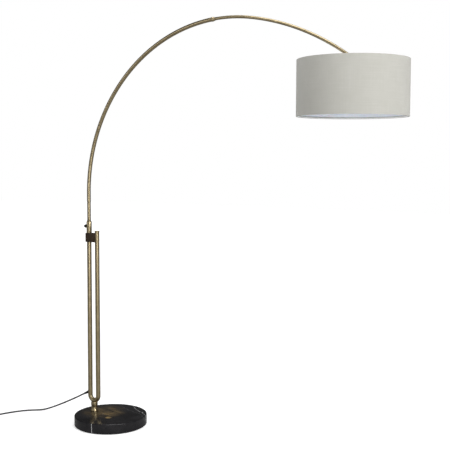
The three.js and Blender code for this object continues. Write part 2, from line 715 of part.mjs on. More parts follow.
const collarBottom = -COLLAR_TOP - COLLAR_HEIGHT;
const capTop = collarBottom - SEAT_GAP;
const capBottom = capTop - CAP_HEIGHT;
const flangeTop = capBottom - SEAT_GAP;
const flangeBottom = flangeTop - FLANGE_THICKNESS;
const hubTop = flangeBottom - SEAT_GAP;
const hubBottom = hubTop - HUB_THICKNESS;
const insertTop = flangeTop + SOCKET_SPIGOT - 2;
const insertBottom = insertTop - INSERT_THICKNESS;
const contactBottom = insertBottom - SEAT_GAP - CONTACT_THICKNESS;
const bulbTip = contactBottom - SEAT_GAP;
const bulbCapBottom = bulbTip - BULB_CAP_HEIGHT;
const shadeTop = -SHADE_DROP;
const shadeBottom = shadeTop - SHADE_HEIGHT;
const shadeRadius = SHADE_DIAMETER / 2;
const linerSkinRadius = shadeRadius - FABRIC_THICKNESS - SEAT_GAP;
const wireRingRadius = linerSkinRadius - LINER_SKIN_THICKNESS - RING_CLEARANCE - WIRE_RADIUS;
const SHADE_SIDES = 48;

function buildHolder() {
  const holder = new THREE.Group();
  const tongue = join(
    eyePlate(KNUCKLE_RADIUS - 0.5, COLLAR_TOP + 1, TONGUE_THICKNESS).rotateY(-Math.PI / 2),
    disc(COLLAR_RADIUS, collarBottom, -COLLAR_TOP),
    disc(NIPPLE_RADIUS, collarBottom - NIPPLE_LENGTH, collarBottom + 1, 16),
  );
  add(holder, 'knuckle_tongue', cut(tongue, pinHole()), 'antique_brass');

  const nippleHole = NIPPLE_RADIUS + SEAT_GAP;
  const capRadius = socketRadius + CAP_OVER_SOCKET;
  const capInner = capRadius - CAP_WALL;
  const cap = turned([
    [nippleHole, capTop], [0.45 * capRadius, capTop], [0.8 * capRadius, capTop - 3.5],
    [capRadius, capTop - 10], [capRadius, capBottom], [capInner, capBottom], [capInner, capTop - 10.5],
    [0.8 * capRadius - CAP_WALL, capTop - 5], [0.45 * capRadius, capTop - CAP_WALL],
    [nippleHole, capTop - CAP_WALL],
  ]);
  add(holder, 'holder_cap', cap, 'antique_brass');

  const lockNutTop = capTop - CAP_WALL - SEAT_GAP;
  const lockNut = cut(
    disc(NIPPLE_RADIUS + 3, lockNutTop - LOCK_NUT_THICKNESS, lockNutTop, 6),
    disc(nippleHole, lockNutTop - LOCK_NUT_THICKNESS - 1, lockNutTop + 1, 16),
  );
  add(holder, 'holder_lock_nut', lockNut, 'zinc_steel');

  const spigotTop = flangeTop + SOCKET_SPIGOT;
  const spigotRadius = capInner - SEAT_GAP;
  const flangeRadius = socketRadius + FLANGE_OVER_SOCKET;
  const socket = turned([
    [socketBore, flangeBottom - SOCKET_LENGTH], [socketRadius, flangeBottom - SOCKET_LENGTH],
    [socketRadius, flangeBottom], [flangeRadius, flangeBottom], [flangeRadius, flangeTop],
    [spigotRadius, flangeTop], [spigotRadius, spigotTop], [socketBore, spigotTop],
  ]);
  add(holder, 'holder_socket', socket, 'black_plastic');

  add(holder, 'holder_insert', disc(socketBore - SEAT_GAP, insertBottom, insertTop), 'white_ceramic');
  const contactTop = contactBottom + CONTACT_THICKNESS;
  add(holder, 'holder_contact', disc(3.5, contactBottom, contactTop, 12), 'antique_brass');

  const ringNutTop = hubBottom - SEAT_GAP;
  const ringNut = ring(
    socketRadius + RING_NUT_OVER_SOCKET,
    socketRadius + RUN_GAP,
    ringNutTop - RING_NUT_HEIGHT,
    ringNutTop,
  );
  add(holder, 'shade_ring_nut', ringNut, 'black_plastic');
  return holder;
}

// Half of the globe's outline, from its open neck to the bottom of the ball, set in from the outside by a
// wall.
function globeOutline(top, wall) {
  const BALL_STEPS = 8;
  const ballRadius = BULB_RADIUS - wall;
  const ballCentre = top - BULB_LENGTH + BULB_RADIUS;
  const ballStart = THREE.MathUtils.degToRad(38);
  const outline = [[BULB_CAP_RADIUS - 0.5 - wall, top], [BULB_CAP_RADIUS + 1 - wall, top - 9]];
  for (let step = 0; step < BALL_STEPS; step += 1) {
    const angle = ballStart - (ballStart + Math.PI / 2) * step / BALL_STEPS;
    outline.push([ballRadius * Math.cos(angle), ballCentre + ballRadius * Math.sin(angle)]);
  }
  outline.push([0, ballCentre - ballRadius]);
  return outline;
}

function buildBulb() {
  const bulb = new THREE.Group();
  const bulbCap = turned([
    [0, bulbTip], [4.5, bulbTip], [4.5, bulbTip - 2], [BULB_CAP_RADIUS - 2, bulbTip - 5],
    [BULB_CAP_RADIUS, bulbTip - 7], [BULB_CAP_RADIUS, bulbCapBottom], [0, bulbCapBottom],
  ]);
  add(bulb, 'bulb_cap', bulbCap, 'zinc_steel');

  const globeTop = bulbCapBottom - SEAT_GAP;
  const globe = turned([...globeOutline(globeTop, 0), ...globeOutline(globeTop, BULB_WALL).reverse()]);
  add(bulb, 'bulb_globe', globe, 'opal_glass');
  return bulb;
}

function wireRing(z) {
  return new THREE.TorusGeometry(wireRingRadius, WIRE_RADIUS, 6, SHADE_SIDES).translate(0, 0, z);
}

function buildShade() {
  const shade = new THREE.Group();
  const topRingZ = shadeTop - RING_INSET;
  const hubZ = (hubTop + hubBottom) / 2;
  const hubRadius = socketRadius + HUB_OVER_SOCKET;
  const wires = Array.from({ length: SPIDER_ARMS }, (unused, index) => {
    const angle = Math.PI + index * 2 * Math.PI / SPIDER_ARMS;
    const across = point(Math.cos(angle), Math.sin(angle), 0);
    const inner = across.clone().multiplyScalar(hubRadius - 1).setZ(hubZ);
    const outer = across.clone().multiplyScalar(wireRingRadius).setZ(topRingZ);
    return rod(SPIDER_WIRE_RADIUS, inner, outer, 8);
  });
  const hub = ring(hubRadius, socketRadius + RUN_GAP, hubBottom, hubTop);
  add(shade, 'shade_spider', join(hub, wireRing(topRingZ), ...wires), 'white_wire');
  add(shade, 'shade_bottom_ring', wireRing(shadeBottom + RING_INSET), 'white_wire');

  const fabricInner = shadeRadius - FABRIC_THICKNESS;
  const fabric = ring(shadeRadius, fabricInner, shadeBottom, shadeTop, SHADE_SIDES);
  add(shade, 'shade_fabric', fabric, 'greige_linen');
  const skinInner = linerSkinRadius - LINER_SKIN_THICKNESS;
  const skin = ring(linerSkinRadius, skinInner, shadeBottom + 0.5, shadeTop - 0.5, SHADE_SIDES);
  add(shade, 'shade_liner', skin, 'white_liner');
  return shade;
}

// ---- Cord, foot switch and plug ----

const CORD_SIDES = 10;
const CORD_STEP = 2.6 * CORD_DIAMETER;

function cordTube(route) {
  const line = new THREE.CatmullRomCurve3(route.map(([x, y, z]) => point(x, y, z)), false, 'centripetal');
  const steps = Math.max(4, Math.round(line.getLength() / CORD_STEP));
  return sweep(tubeSection(CORD_DIAMETER / 2, 0, CORD_SIDES), line, steps);
}

function roundedSlab(length, width, corner, bottom, top) {
  const x = length / 2 - corner;
  const y = width / 2 - corner;
  const outline = new THREE.Shape();
  outline.absarc(x, y, corner, 0, Math.PI / 2, false);
  outline.absarc(-x, y, corner, Math.PI / 2, Math.PI, false);
  outline.absarc(-x, -y, corner, Math.PI, 1.5 * Math.PI, false);
  outline.absarc(x, -y, corner, 1.5 * Math.PI, 2 * Math.PI, false);
  const settings = { depth: top - bottom, bevelEnabled: false, curveSegments: 4 };
  const slab = new THREE.ExtrudeGeometry(outline, settings);
  return slab.translate(0, 0, bottom);
}

function buildGland() {
  const taper = aim(turned([
    [0, 0], [GLAND_ROOT_RADIUS, 0], [GLAND_ROOT_RADIUS, glandStart + 3],
    [GLAND_ROOT_RADIUS - 1, glandStart + 4], [GLAND_TIP_RADIUS, glandStart + GLAND_LENGTH],
    [0, glandStart + GLAND_LENGTH],
  ], 16), glandRoot, glandDirection);
  const leg = disc(legRadius + SEAT_GAP, glandZ - 40, glandZ + 40, 16).translate(rearLegX, 0, 0);
  const spigot = aim(
    disc(GLAND_SPIGOT_RADIUS, legBore - 2, glandStart + 3, 16), glandRoot, glandDirection,
  );
  return join(cut(taper, leg), spigot);
}

function buildFootSwitch() {
  const footSwitch = new THREE.Group();
  const innerLength = SWITCH_LENGTH - 2 * SWITCH_WALL;
  const innerWidth = SWITCH_WIDTH - 2 * SWITCH_WALL;
  const innerCorner = SWITCH_CORNER - SWITCH_WALL;
  const coverBottom = SWITCH_SPLIT + SEAT_GAP;
  const roof = SWITCH_HEIGHT - SWITCH_WALL;

  const shell = roundedSlab(SWITCH_LENGTH, SWITCH_WIDTH, SWITCH_CORNER, 0, SWITCH_SPLIT);
  const shellRoom = roundedSlab(innerLength, innerWidth, innerCorner, SWITCH_WALL, SWITCH_SPLIT + 1);
  add(footSwitch, 'foot_switch_base', cut(shell, shellRoom), 'black_plastic');

  const cover = roundedSlab(SWITCH_LENGTH, SWITCH_WIDTH, SWITCH_CORNER, coverBottom, SWITCH_HEIGHT);
  const coverRoom = roundedSlab(innerLength, innerWidth, innerCorner, coverBottom - 1, roof);
  const buttonHole = disc(BUTTON_RADIUS + 2 * RUN_GAP, roof - 1, SWITCH_HEIGHT + 1);
  add(footSwitch, 'foot_switch_cover', cut(cover, coverRoom, buttonHole), 'black_plastic');

  const buttonTop = SWITCH_HEIGHT + BUTTON_PROUD;
  const button = turned([
    [0, buttonTop - BUTTON_HEIGHT], [BUTTON_RADIUS, buttonTop - BUTTON_HEIGHT],
    [BUTTON_RADIUS, buttonTop - 1.5], [BUTTON_RADIUS - 1.5, buttonTop], [0, buttonTop],
  ]);
  add(footSwitch, 'foot_switch_button', button, 'black_plastic');

  const blockBottom = SWITCH_WALL + SEAT_GAP;
  const contactBlock = new THREE.BoxGeometry(30, 18, 9).translate(0, 0, blockBottom + 4.5);
  add(footSwitch, 'foot_switch_contacts', contactBlock, 'white_nylon');

  footSwitch.position.set(...SWITCH_PLACE, 0);
  footSwitch.rotation.z = SWITCH_HEADING;
  return footSwitch;
}

// The tie is a strap round the coil's bundle, square to it.
function buildTie() {
  const inner = new THREE.BoxGeometry(
    COIL_OUTER_RADIUS - COIL_INNER_RADIUS + 2 * TIE_CLEARANCE,
    2 * TIE_WIDTH,
    COIL_TOP - COIL_BOTTOM + 2 * SEAT_GAP,
  );
  const outer = new THREE.BoxGeometry(
    COIL_OUTER_RADIUS - COIL_INNER_RADIUS + 2 * (TIE_CLEARANCE + TIE_THICKNESS),
    TIE_WIDTH,
    COIL_TOP - COIL_BOTTOM + 2 * (SEAT_GAP + TIE_THICKNESS),
  );
  const middle = (COIL_OUTER_RADIUS + COIL_INNER_RADIUS) / 2;
  return cut(outer, inner).translate(middle, 0, (COIL_TOP + COIL_BOTTOM) / 2);
}

function buildPlug() {
  const plug = new THREE.Group();
  const middle = PLUG_THICKNESS / 2;
  const slab = roundedSlab(PLUG_LENGTH, PLUG_WIDTH, 6, 0, PLUG_THICKNESS);
  slab.translate(PLUG_RELIEF + PLUG_LENGTH / 2, 0, 0);
  const relief = aim(
    turned([[0, 0], [4.2, 0], [5.8, PLUG_RELIEF + 4], [0, PLUG_RELIEF + 4]], 16),
    point(0, 0, middle), point(1, 0, 0),
  );
  add(plug, 'plug_body', join(slab, relief), 'black_plastic');

  const face = PLUG_RELIEF + PLUG_LENGTH + SEAT_GAP;
  ['left', 'right'].forEach((side, index) => {
    const y = (index === 0 ? 1 : -1) * PLUG_PIN_SPACING / 2;
    const pin = rod(PLUG_PIN_RADIUS, point(face, y, middle), point(face + PLUG_PIN_LENGTH, y, middle), 12);
    add(plug, `plug_pin_${side}`, pin, 'zinc_steel');
  });

  const [x, y] = PLUG_LEAD_ROUTE.at(-1);
  plug.position.set(x + 2 * SEAT_GAP * Math.cos(PLUG_HEADING), y + 2 * SEAT_GAP * Math.sin(PLUG_HEADING), 0);
  plug.rotation.z = PLUG_HEADING;
  return plug;
}

function buildCord() {
  const cord = new THREE.Group();
  add(cord, 'cord_gland', buildGland(), 'black_plastic');
  add(cord, 'cord_lead', cordTube(LEAD_ROUTE), 'grey_cord');
  add(cord, 'cord_switch_lead', cordTube(SWITCH_LEAD_ROUTE), 'grey_cord');
  add(cord, 'cord_plug_lead', cordTube(PLUG_LEAD_ROUTE), 'grey_cord');

  const coil = new THREE.Group();
  add(coil, 'cord_coil', ring(COIL_OUTER_RADIUS, COIL_INNER_RADIUS, COIL_BOTTOM, COIL_TOP, 32), 'grey_cord');
  add(coil, 'cord_tie', buildTie(), 'black_plastic').rotation.z = TIE_HEADING;
  coil.position.set(...COIL_PLACE, 0);
  cord.add(coil, buildFootSwitch(), buildPlug());
  return cord;
}

// ---- The lamp ----

const lamp = new THREE.Group();
const armEnd = armPoint(endRodEnd);
const pivot = armEnd.clone().add(armDirection(endRodEnd).multiplyScalar(KNUCKLE_REACH));

const knuckle = buildKnuckle();
knuckle.position.copy(pivot);
knuckle.rotation.y = armAngle(endRodEnd) - Math.PI / 2;

const head = new THREE.Group();
head.add(buildHolder(), buildBulb(), buildShade());
head.position.copy(pivot);

lamp.add(buildBase(), buildStand(), buildClamp(), buildArm(), knuckle, head, buildCord());
add(lamp, 'leg_flex', buildLegFlex(), 'grey_cord').position.x = rearLegX;

export default lamp;
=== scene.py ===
import math

import bpy
import bmesh
from mathutils import Matrix, Vector


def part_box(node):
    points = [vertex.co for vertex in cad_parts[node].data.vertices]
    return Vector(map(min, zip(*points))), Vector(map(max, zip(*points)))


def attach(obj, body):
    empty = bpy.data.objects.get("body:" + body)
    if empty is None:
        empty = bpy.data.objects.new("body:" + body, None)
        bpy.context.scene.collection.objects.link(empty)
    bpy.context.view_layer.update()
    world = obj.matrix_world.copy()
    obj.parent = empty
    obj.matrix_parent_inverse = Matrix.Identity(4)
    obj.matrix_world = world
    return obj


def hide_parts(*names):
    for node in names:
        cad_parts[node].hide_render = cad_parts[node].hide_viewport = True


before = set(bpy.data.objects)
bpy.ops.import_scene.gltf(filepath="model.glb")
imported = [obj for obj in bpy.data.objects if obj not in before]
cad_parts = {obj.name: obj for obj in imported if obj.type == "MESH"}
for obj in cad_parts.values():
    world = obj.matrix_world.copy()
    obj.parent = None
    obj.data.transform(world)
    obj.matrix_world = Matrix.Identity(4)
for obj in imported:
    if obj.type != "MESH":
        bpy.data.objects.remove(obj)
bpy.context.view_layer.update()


# ---- Felt foot and marble base ----
# A disc of dark veined marble, polished, with its arrises broken and its underside pocketed for the bolt.
# A disc of black felt is glued under it.

MM = 0.001
BASE_RADIUS, FELT_RADIUS = 155, 149
MARBLE_BOTTOM, MARBLE_TOP = 2.3, 44.3
NECK_X = -91


def add_node(tree, kind, inputs=(), **settings):
    """A shader node with its settings made, and its inputs linked or given a value."""
    made = tree.nodes.new(kind)
    for name, value in settings.items():
        setattr(made, name, value)
    for name, value in dict(inputs).items():
        if isinstance(value, bpy.types.NodeSocket):
            tree.links.new(value, made.inputs[name])
        else:
            made.inputs[name].default_value = value
    return made


def placed_on(tree, scale=(1, 1, 1), turn=(0, 0, 0), centre=(0, 0, 0)):
    """Object coordinates in metres, centred, turned and stretched."""
    place = add_node(tree, "ShaderNodeTexCoord").outputs["Object"]
    moved = add_node(tree, "ShaderNodeVectorMath", {0: place, 1: centre}, operation="SUBTRACT")
    return add_node(tree, "ShaderNodeMapping",
                    {"Vector": moved.outputs[0], "Rotation": turn, "Scale": scale}).outputs[0]


def shades(tree, amount, dark, light):
    """A colour between dark and light."""
    mixed = add_node(tree, "ShaderNodeMix", {"Factor": amount}, data_type="RGBA")
    mixed.inputs["A"].default_value = (*dark, 1)
    mixed.inputs["B"].default_value = (*light, 1)
    return mixed.outputs["Result"]


def between(tree, value, low, high, out_low=0.0, out_high=1.0):
    """Takes a value from low..high to out_low..out_high with soft ends."""
    ranged = add_node(tree, "ShaderNodeMapRange", {
        "Value": value, "From Min": low, "From Max": high, "To Min": out_low, "To Max": out_high,
    }, interpolation_type="SMOOTHSTEP")
    return ranged.outputs["Result"]


def sums(tree, operation, first, second):
    return add_node(tree, "ShaderNodeMath", {0: first, 1: second}, operation=operation).outputs[0]


def new_finish(name, **values):
    """A material whose plain values are set on the shader itself."""
    finish = bpy.data.materials.new(name)
    finish.use_nodes = True
    shader = finish.node_tree.nodes["Principled BSDF"]
    for socket, value in values.items():
        shader.inputs[socket.replace("_", " ")].default_value = value
    return finish, finish.node_tree, shader


def raised(tree, shader, height, distance):
    bump = add_node(tree, "ShaderNodeBump", {"Height": height, "Distance": distance, "Strength": 1.0})
    tree.links.new(bump.outputs["Normal"], shader.inputs["Normal"])


def speckle_group():
    """Shared by most finishes: clouds and fine grain that vary a colour, a roughness and a height."""
    group = bpy.data.node_groups.new("speckle", "ShaderNodeTree")
    for name, kind in (("Vector", "Vector"), ("Cloud Scale", "Float"), ("Grain Scale", "Float"),
                       ("Dark", "Color"), ("Light", "Color"), ("Smooth", "Float"), ("Rough", "Float")):
        group.interface.new_socket(name, in_out="INPUT", socket_type=f"NodeSocket{kind}")
    for name, kind in (("Color", "Color"), ("Roughness", "Float"), ("Height", "Float")):
        group.interface.new_socket(name, in_out="OUTPUT", socket_type=f"NodeSocket{kind}")
    given = group.nodes.new("NodeGroupInput").outputs
    clouds = add_node(group, "ShaderNodeTexNoise", {
        "Vector": given["Vector"], "Scale": given["Cloud Scale"], "Detail": 5.0, "Roughness": 0.6})
    grain = add_node(group, "ShaderNodeTexNoise", {
        "Vector": given["Vector"], "Scale": given["Grain Scale"], "Detail": 3.0, "Roughness": 0.65})
    cloud = between(group, clouds.outputs["Fac"], 0.3, 0.7)
    both = sums(group, "ADD", sums(group, "MULTIPLY", cloud, 0.75),
                sums(group, "MULTIPLY", grain.outputs["Fac"], 0.25))
    mixed = add_node(group, "ShaderNodeMix", {"Factor": both}, data_type="RGBA")
    group.links.new(given["Dark"], mixed.inputs["A"])
    group.links.new(given["Light"], mixed.inputs["B"])
    rough = add_node(group, "ShaderNodeMix", {"Factor": between(group, grain.outputs["Fac"], 0.3, 0.7)},
                     data_type="FLOAT")
    group.links.new(given["Smooth"], rough.inputs["A"])
    group.links.new(given["Rough"], rough.inputs["B"])
    result = group.nodes.new("NodeGroupOutput").inputs
    group.links.new(mixed.outputs["Result"], result["Color"])
    group.links.new(rough.outputs["Result"], result["Roughness"])
    group.links.new(grain.outputs["Fac"], result["Height"])
    return group


speckle = speckle_group()


def speckled(name, dark, light, smooth, rough, clouds, grain, bump=0.00002, **values):
    """A finish made of the speckle group alone."""
    finish, tree, shader = new_finish(name, **values)
    mixed = add_node(tree, "ShaderNodeGroup", node_tree=speckle)
    tree.links.new(placed_on(tree), mixed.inputs["Vector"])
    for socket, value in (("Cloud Scale", clouds), ("Grain Scale", grain), ("Dark", (*dark, 1)),
                          ("Light", (*light, 1)), ("Smooth", smooth), ("Rough", rough)):
        mixed.inputs[socket].default_value = value
    tree.links.new(mixed.outputs["Color"], shader.inputs["Base Color"])
    tree.links.new(mixed.outputs["Roughness"], shader.inputs["Roughness"])
    raised(tree, shader, mixed.outputs["Height"], bump)
    return finish


def turned(bm, outline, centre=(0, 0, 0), direction=(0, 0, 1), steps=64, ease=0.0, bend=25):
    """Spins an outline of (radius, height) pairs in mm, breaks its arrises, and stands it at a place."""
    old = set(bm.verts)
    closed = outline[0] == outline[-1]
    sketch = outline[:-1] if closed else outline
    points = [bm.verts.new((radius * MM, 0, height * MM)) for radius, height in sketch]
    edges = [bm.edges.new(pair) for pair in zip(points, points[1:] + points[:1] if closed else points[1:])]
    bmesh.ops.spin(bm, geom=points + edges, cent=(0, 0, 0), axis=(0, 0, 1), angle=2 * math.pi, steps=steps,
                   use_merge=True, use_duplicate=False)
    bmesh.ops.remove_doubles(bm, verts=[v for v in bm.verts if v not in old], dist=1e-6)
    if ease:
        eased(bm, ease, bend, [e for e in bm.edges if e.verts[0] not in old])
    made = [v for v in bm.verts if v not in old]
    turn = Vector((0, 0, 1)).rotation_difference(Vector(direction)).to_matrix().to_4x4()
    bmesh.ops.transform(bm, matrix=Matrix.Translation(Vector(centre) * MM) @ turn, verts=made)
    return made


def eased(bm, width, bend=30, edges=None, segments=3):
    """Bevels the edges where two faces meet at more than a bend."""
    sharp = [e for e in (edges or bm.edges) if len(e.link_faces) == 2
             and e.calc_face_angle(0) > math.radians(bend)]
    bmesh.ops.bevel(bm, geom=sharp, offset=width * MM, offset_type="OFFSET", segments=segments, profile=0.5,
                    affect="EDGES", clamp_overlap=True, material=-1)


def finished(bm, name, finish, body, slot, *nodes, smooth=35):
    """Closes a piece: normals out, smooth shading, finish, the body it rides on, the nodes it stands for."""
    bmesh.ops.recalc_face_normals(bm, faces=bm.faces)
    mesh = bpy.data.meshes.new(name)
    bm.to_mesh(mesh)
    bm.free()
    mesh.shade_smooth()
    mesh.set_sharp_from_angle(angle=math.radians(smooth))
    mesh.materials.append(finish)
    piece = bpy.data.objects.new(name, mesh)
    bpy.context.collection.objects.link(piece)
    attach(piece, body)
    if nodes:
        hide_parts(*nodes)
    return piece


def cut_away(piece, cutters):
    """Takes the cutters' solid out of a piece."""
    bmesh.ops.recalc_face_normals(cutters, faces=cutters.faces)
    mesh = bpy.data.meshes.new("cutter")
    cutters.to_mesh(mesh)
    cutters.free()
    tool = bpy.data.objects.new("cutter", mesh)
    bpy.context.collection.objects.link(tool)
    cut = piece.modifiers.new("cut", "BOOLEAN")
    cut.object, cut.operation, cut.solver = tool, "DIFFERENCE", "EXACT"
    whole = piece.data
    result = bpy.data.meshes.new_from_object(piece.evaluated_get(bpy.context.evaluated_depsgraph_get()))
    piece.modifiers.remove(cut)
    piece.data = result
    result.name = piece.name
    bpy.data.objects.remove(tool)
    bpy.data.meshes.remove(mesh)
    bpy.data.meshes.remove(whole)


def black_marble():
    """Near-black stone with thin pale veins, tawny streaks that fan out by the neck, and a painted highlight:
    a small bright tawny spot in front of the neck.
    """
    finish, tree, shader = new_finish("black_marble", Coat_Weight=0.06, Coat_Roughness=0.12, IOR=1.45)
    place = placed_on(tree)
    drift = add_node(tree, "ShaderNodeTexNoise",
                     {"Vector": place, "Scale": 14.0, "Detail": 6.0, "Roughness": 0.6})
    wander = sums(tree, "MULTIPLY", sums(tree, "SUBTRACT", drift.outputs["Fac"], 0.5), 0.06)
    fine = add_node(tree, "ShaderNodeTexNoise",
                    {"Vector": place, "Scale": 60.0, "Detail": 5.0, "Roughness": 0.7})
    ground = shades(tree, between(tree, drift.outputs["Fac"], 0.35, 0.75), (0.006, 0.0057, 0.0068),
                    (0.018, 0.017, 0.0185))
    veins = None
    # each vein follows an upright plane: its normal, its distance from the middle, half its width, and how
    # strong it is on the side and on top
    up = add_node(tree, "ShaderNodeSeparateXYZ", {0: place}).outputs["Z"]
    on_top = between(tree, up, (MARBLE_TOP - 1.6) * MM, (MARBLE_TOP - 0.6) * MM)
    for normal, distance, width, strength, top_strength in (
        ((0.535, 0.845, 0.04), 0.128, 0.0030, 0.50, 0.45),
        ((0.40, 0.91, 0.10), 0.103, 0.0012, 0.20, 0.20),
        ((0.93, 0.34, 0.16), -0.025, 0.0022, 0.85, 0.06),
    ):
        across = add_node(tree, "ShaderNodeVectorMath", {0: place, 1: normal},
                          operation="DOT_PRODUCT").outputs["Value"]
        off = add_node(tree, "ShaderNodeMath",
                       {0: sums(tree, "SUBTRACT", sums(tree, "ADD", across, wander), distance)},
                       operation="ABSOLUTE").outputs[0]
        line = sums(tree, "MULTIPLY", between(tree, off, width, 0.0),
                    between(tree, on_top, 0, 1, strength, top_strength))
        veins = line if veins is None else sums(tree, "MAXIMUM", veins, line)
    patchy = between(tree, fine.outputs["Fac"], 0.32, 0.6, 0.45, 1.0)
    veins = sums(tree, "MULTIPLY", veins, patchy)
    streaks = add_node(tree, "ShaderNodeTexNoise", {
        "Vector": placed_on(tree, (9, 42, 20), (0, 0, math.radians(-38)), (-0.091, 0, 0)),
        "Scale": 1.0, "Detail": 6.0, "Roughness": 0.62, "Distortion": 0.7})
    tawny_and_painted_highlight = None
    # each tawny patch on top: its middle, where it is full, where it fades out, the streak range it takes,
    # and its strength. The first is the streaky patch by the neck; the second, small one is a painted
    # highlight.
    for middle, near, far, low, high, strength in (
        ((-0.045, 0.012, 0.044), 0.02, 0.110, 0.30, 0.66, 0.70),
        ((0.026, -0.048, 0.044), 0.006, 0.018, 0.2, 0.5, 1.0),
    ):
        reach = add_node(tree, "ShaderNodeVectorMath", {0: place, 1: middle},
                         operation="DISTANCE").outputs["Value"]
        cloud = sums(tree, "MULTIPLY", between(tree, streaks.outputs["Fac"], low, high),
                     between(tree, reach, far, near, 0, strength))
        tawny_and_painted_highlight = cloud if tawny_and_painted_highlight is None else sums(tree, "MAXIMUM", tawny_and_painted_highlight, cloud)
    tawny_and_painted_highlight = sums(tree, "MULTIPLY", tawny_and_painted_highlight, on_top)
    stone = shades(tree, tawny_and_painted_highlight, (0, 0, 0), (0.27, 0.185, 0.075))
    tree.links.new(ground, stone.node.inputs["A"])
    veined = shades(tree, veins, (0, 0, 0), (0.62, 0.62, 0.62))
    tree.links.new(stone, veined.node.inputs["A"])
    tree.links.new(veined, shader.inputs["Base Color"])
    tree.links.new(between(tree, fine.outputs["Fac"], 0.3, 0.7, 0.17, 0.27), shader.inputs["Roughness"])
    raised(tree, shader, fine.outputs["Fac"], 0.00001)
    return finish


marble = black_marble()
felt = speckled("black_felt", (0.006, 0.006, 0.006), (0.022, 0.022, 0.023), 0.9, 1.0, 180, 1500, 0.0003,
                Sheen_Weight=0.4)
zinc = speckled("zinc_steel", (0.30, 0.31, 0.32), (0.55, 0.56, 0.57), 0.28, 0.45, 90, 900, Metallic=1.0)

bm = bmesh.new()
turned(bm, [(0, 0), (FELT_RADIUS, 0), (FELT_RADIUS, 2), (0, 2)], steps=128, ease=0.5)
finished(bm, "felt_foot", felt, "stand", "black_felt", "base_felt")

bm = bmesh.new()
turned(bm, [(0, MARBLE_BOTTOM), (BASE_RADIUS - 2, MARBLE_BOTTOM), (BASE_RADIUS, MARBLE_BOTTOM + 2),
            (BASE_RADIUS, MARBLE_TOP - 2), (BASE_RADIUS - 2, MARBLE_TOP), (0, MARBLE_TOP)],
       steps=192, ease=0.7)
base = finished(bm, "marble_disc", marble, "stand", "black_marble", "marble_base")
holes = bmesh.new()
turned(holes, [(0, -1), (15, -1), (15, 14.6), (4.6, 14.6), (4.6, 46), (0, 46)], (NECK_X, 0, 0), steps=48)
cut_away(base, holes)


# ---- Neck ----
# Turned brass, waisted, with a round head that the hairpin's bend sits in. A bolt comes up into it from
# below.

brass = speckled("antique_brass", (0.43, 0.345, 0.20), (0.60, 0.49, 0.295), 0.28, 0.38, 26, 700, 0.000012,
                 Metallic=1.0, Coat_Weight=0.12, Coat_Roughness=0.2)

bm = bmesh.new()
turned(bm, [(0, 44.6), (16, 44.6), (16, 47.1), (15.5, 49.3), (14.5, 51.6), (13.7, 54.4), (13.1, 57.6),
            (12.8, 61.1), (12.8, 63.1), (13.1, 65.8), (13.6, 67.8), (14.1, 69.2), (14.5, 70.6),
            (14.5, 83), (13.5, 84), (0, 84)], (NECK_X, 0, 0), steps=72, ease=0.35, bend=28)
neck = finished(bm, "neck", brass, "stand", "antique_brass", "base_neck")
holes = bmesh.new()
turned(holes, [(0, 40), (4.6, 40), (4.6, 74.9), (0, 74.9)], (NECK_X, 0, 0), steps=32)
cut_away(neck, holes)


# ---- Hairpin stand ----
# One brass tube bent back on itself, its bend let into the neck. The rear leg takes the arm, and the front
# leg ends in a turned cap.

REAR_X, FRONT_X = -113, -69
LEG_RADIUS = 10


def swept(bm, radius, start, heading, runs, sides=40, bore=0.0):
    """Pushes a round section by straight runs (a vector) and bends (centre, angle about Y, steps)."""
    turn = Vector((0, 0, 1)).rotation_difference(Vector(heading)).to_matrix().to_4x4()
    stand = Matrix.Translation(Vector(start) * MM) @ turn
    loops = []
    for size in filter(None, (radius, bore)):
        ring = bmesh.ops.create_circle(bm, segments=sides, radius=size * MM, matrix=stand)["verts"]
        loop = list({edge for vert in ring for edge in vert.link_edges})
        ends = [loop]
        for run in runs:
            if len(run) == 1:
                made = bmesh.ops.extrude_edge_only(bm, edges=loop)["geom"]
                fresh = {item for item in made if isinstance(item, bmesh.types.BMVert)}
                bmesh.ops.translate(bm, verts=list(fresh), vec=Vector(run[0]) * MM)
                loop = [item for item in made if isinstance(item, bmesh.types.BMEdge)
                        and set(item.verts) <= fresh]
            else:
                centre, angle, steps = run
                made = bmesh.ops.spin(bm, geom=loop, cent=Vector(centre) * MM, axis=(0, 1, 0), angle=angle,
                                      steps=steps, use_duplicate=False)["geom_last"]
                loop = [item for item in made if isinstance(item, bmesh.types.BMEdge)]
        loops.append((ends[0], loop))
    for end in (0, 1):
        if len(loops) == 2:
            bmesh.ops.bridge_loops(bm, edges=loops[0][end] + loops[1][end])
        else:
            bmesh.ops.edgeloop_fill(bm, edges=loops[0][end])


bm = bmesh.new()
swept(bm, LEG_RADIUS, (REAR_X, 0, 839.3), (0, 0, -1), [
    ((0, 0, 113 - 839.3),), ((NECK_X, 0, 113), -math.pi, 36), ((0, 0, 830 - 113),)], sides=48, bore=8.75)
finished(bm, "hairpin", brass, "stand", "antique_brass", "hairpin_tube")

bm = bmesh.new()
turned(bm, [(0, 820.3), (8.4, 820.3), (8.4, 830.3), (10.8, 830.3), (10.8, 833.5), (9.8, 834.5), (0, 834.7)],
       (FRONT_X, 0, 0), ease=0.4)
finished(bm, "front_leg_cap", brass, "stand", "antique_brass", "leg_cap")


# ---- Bridge block and its screw ----
# A dark bronzed block bored for the rear leg and wrapped half round the front one. A brass cheese-head screw
# through the front leg holds them together.

bronze = speckled("bronze_block", (0.022, 0.012, 0.006), (0.054, 0.032, 0.016), 0.36, 0.55, 60, 1200,
                  0.00003, Metallic=0.35)


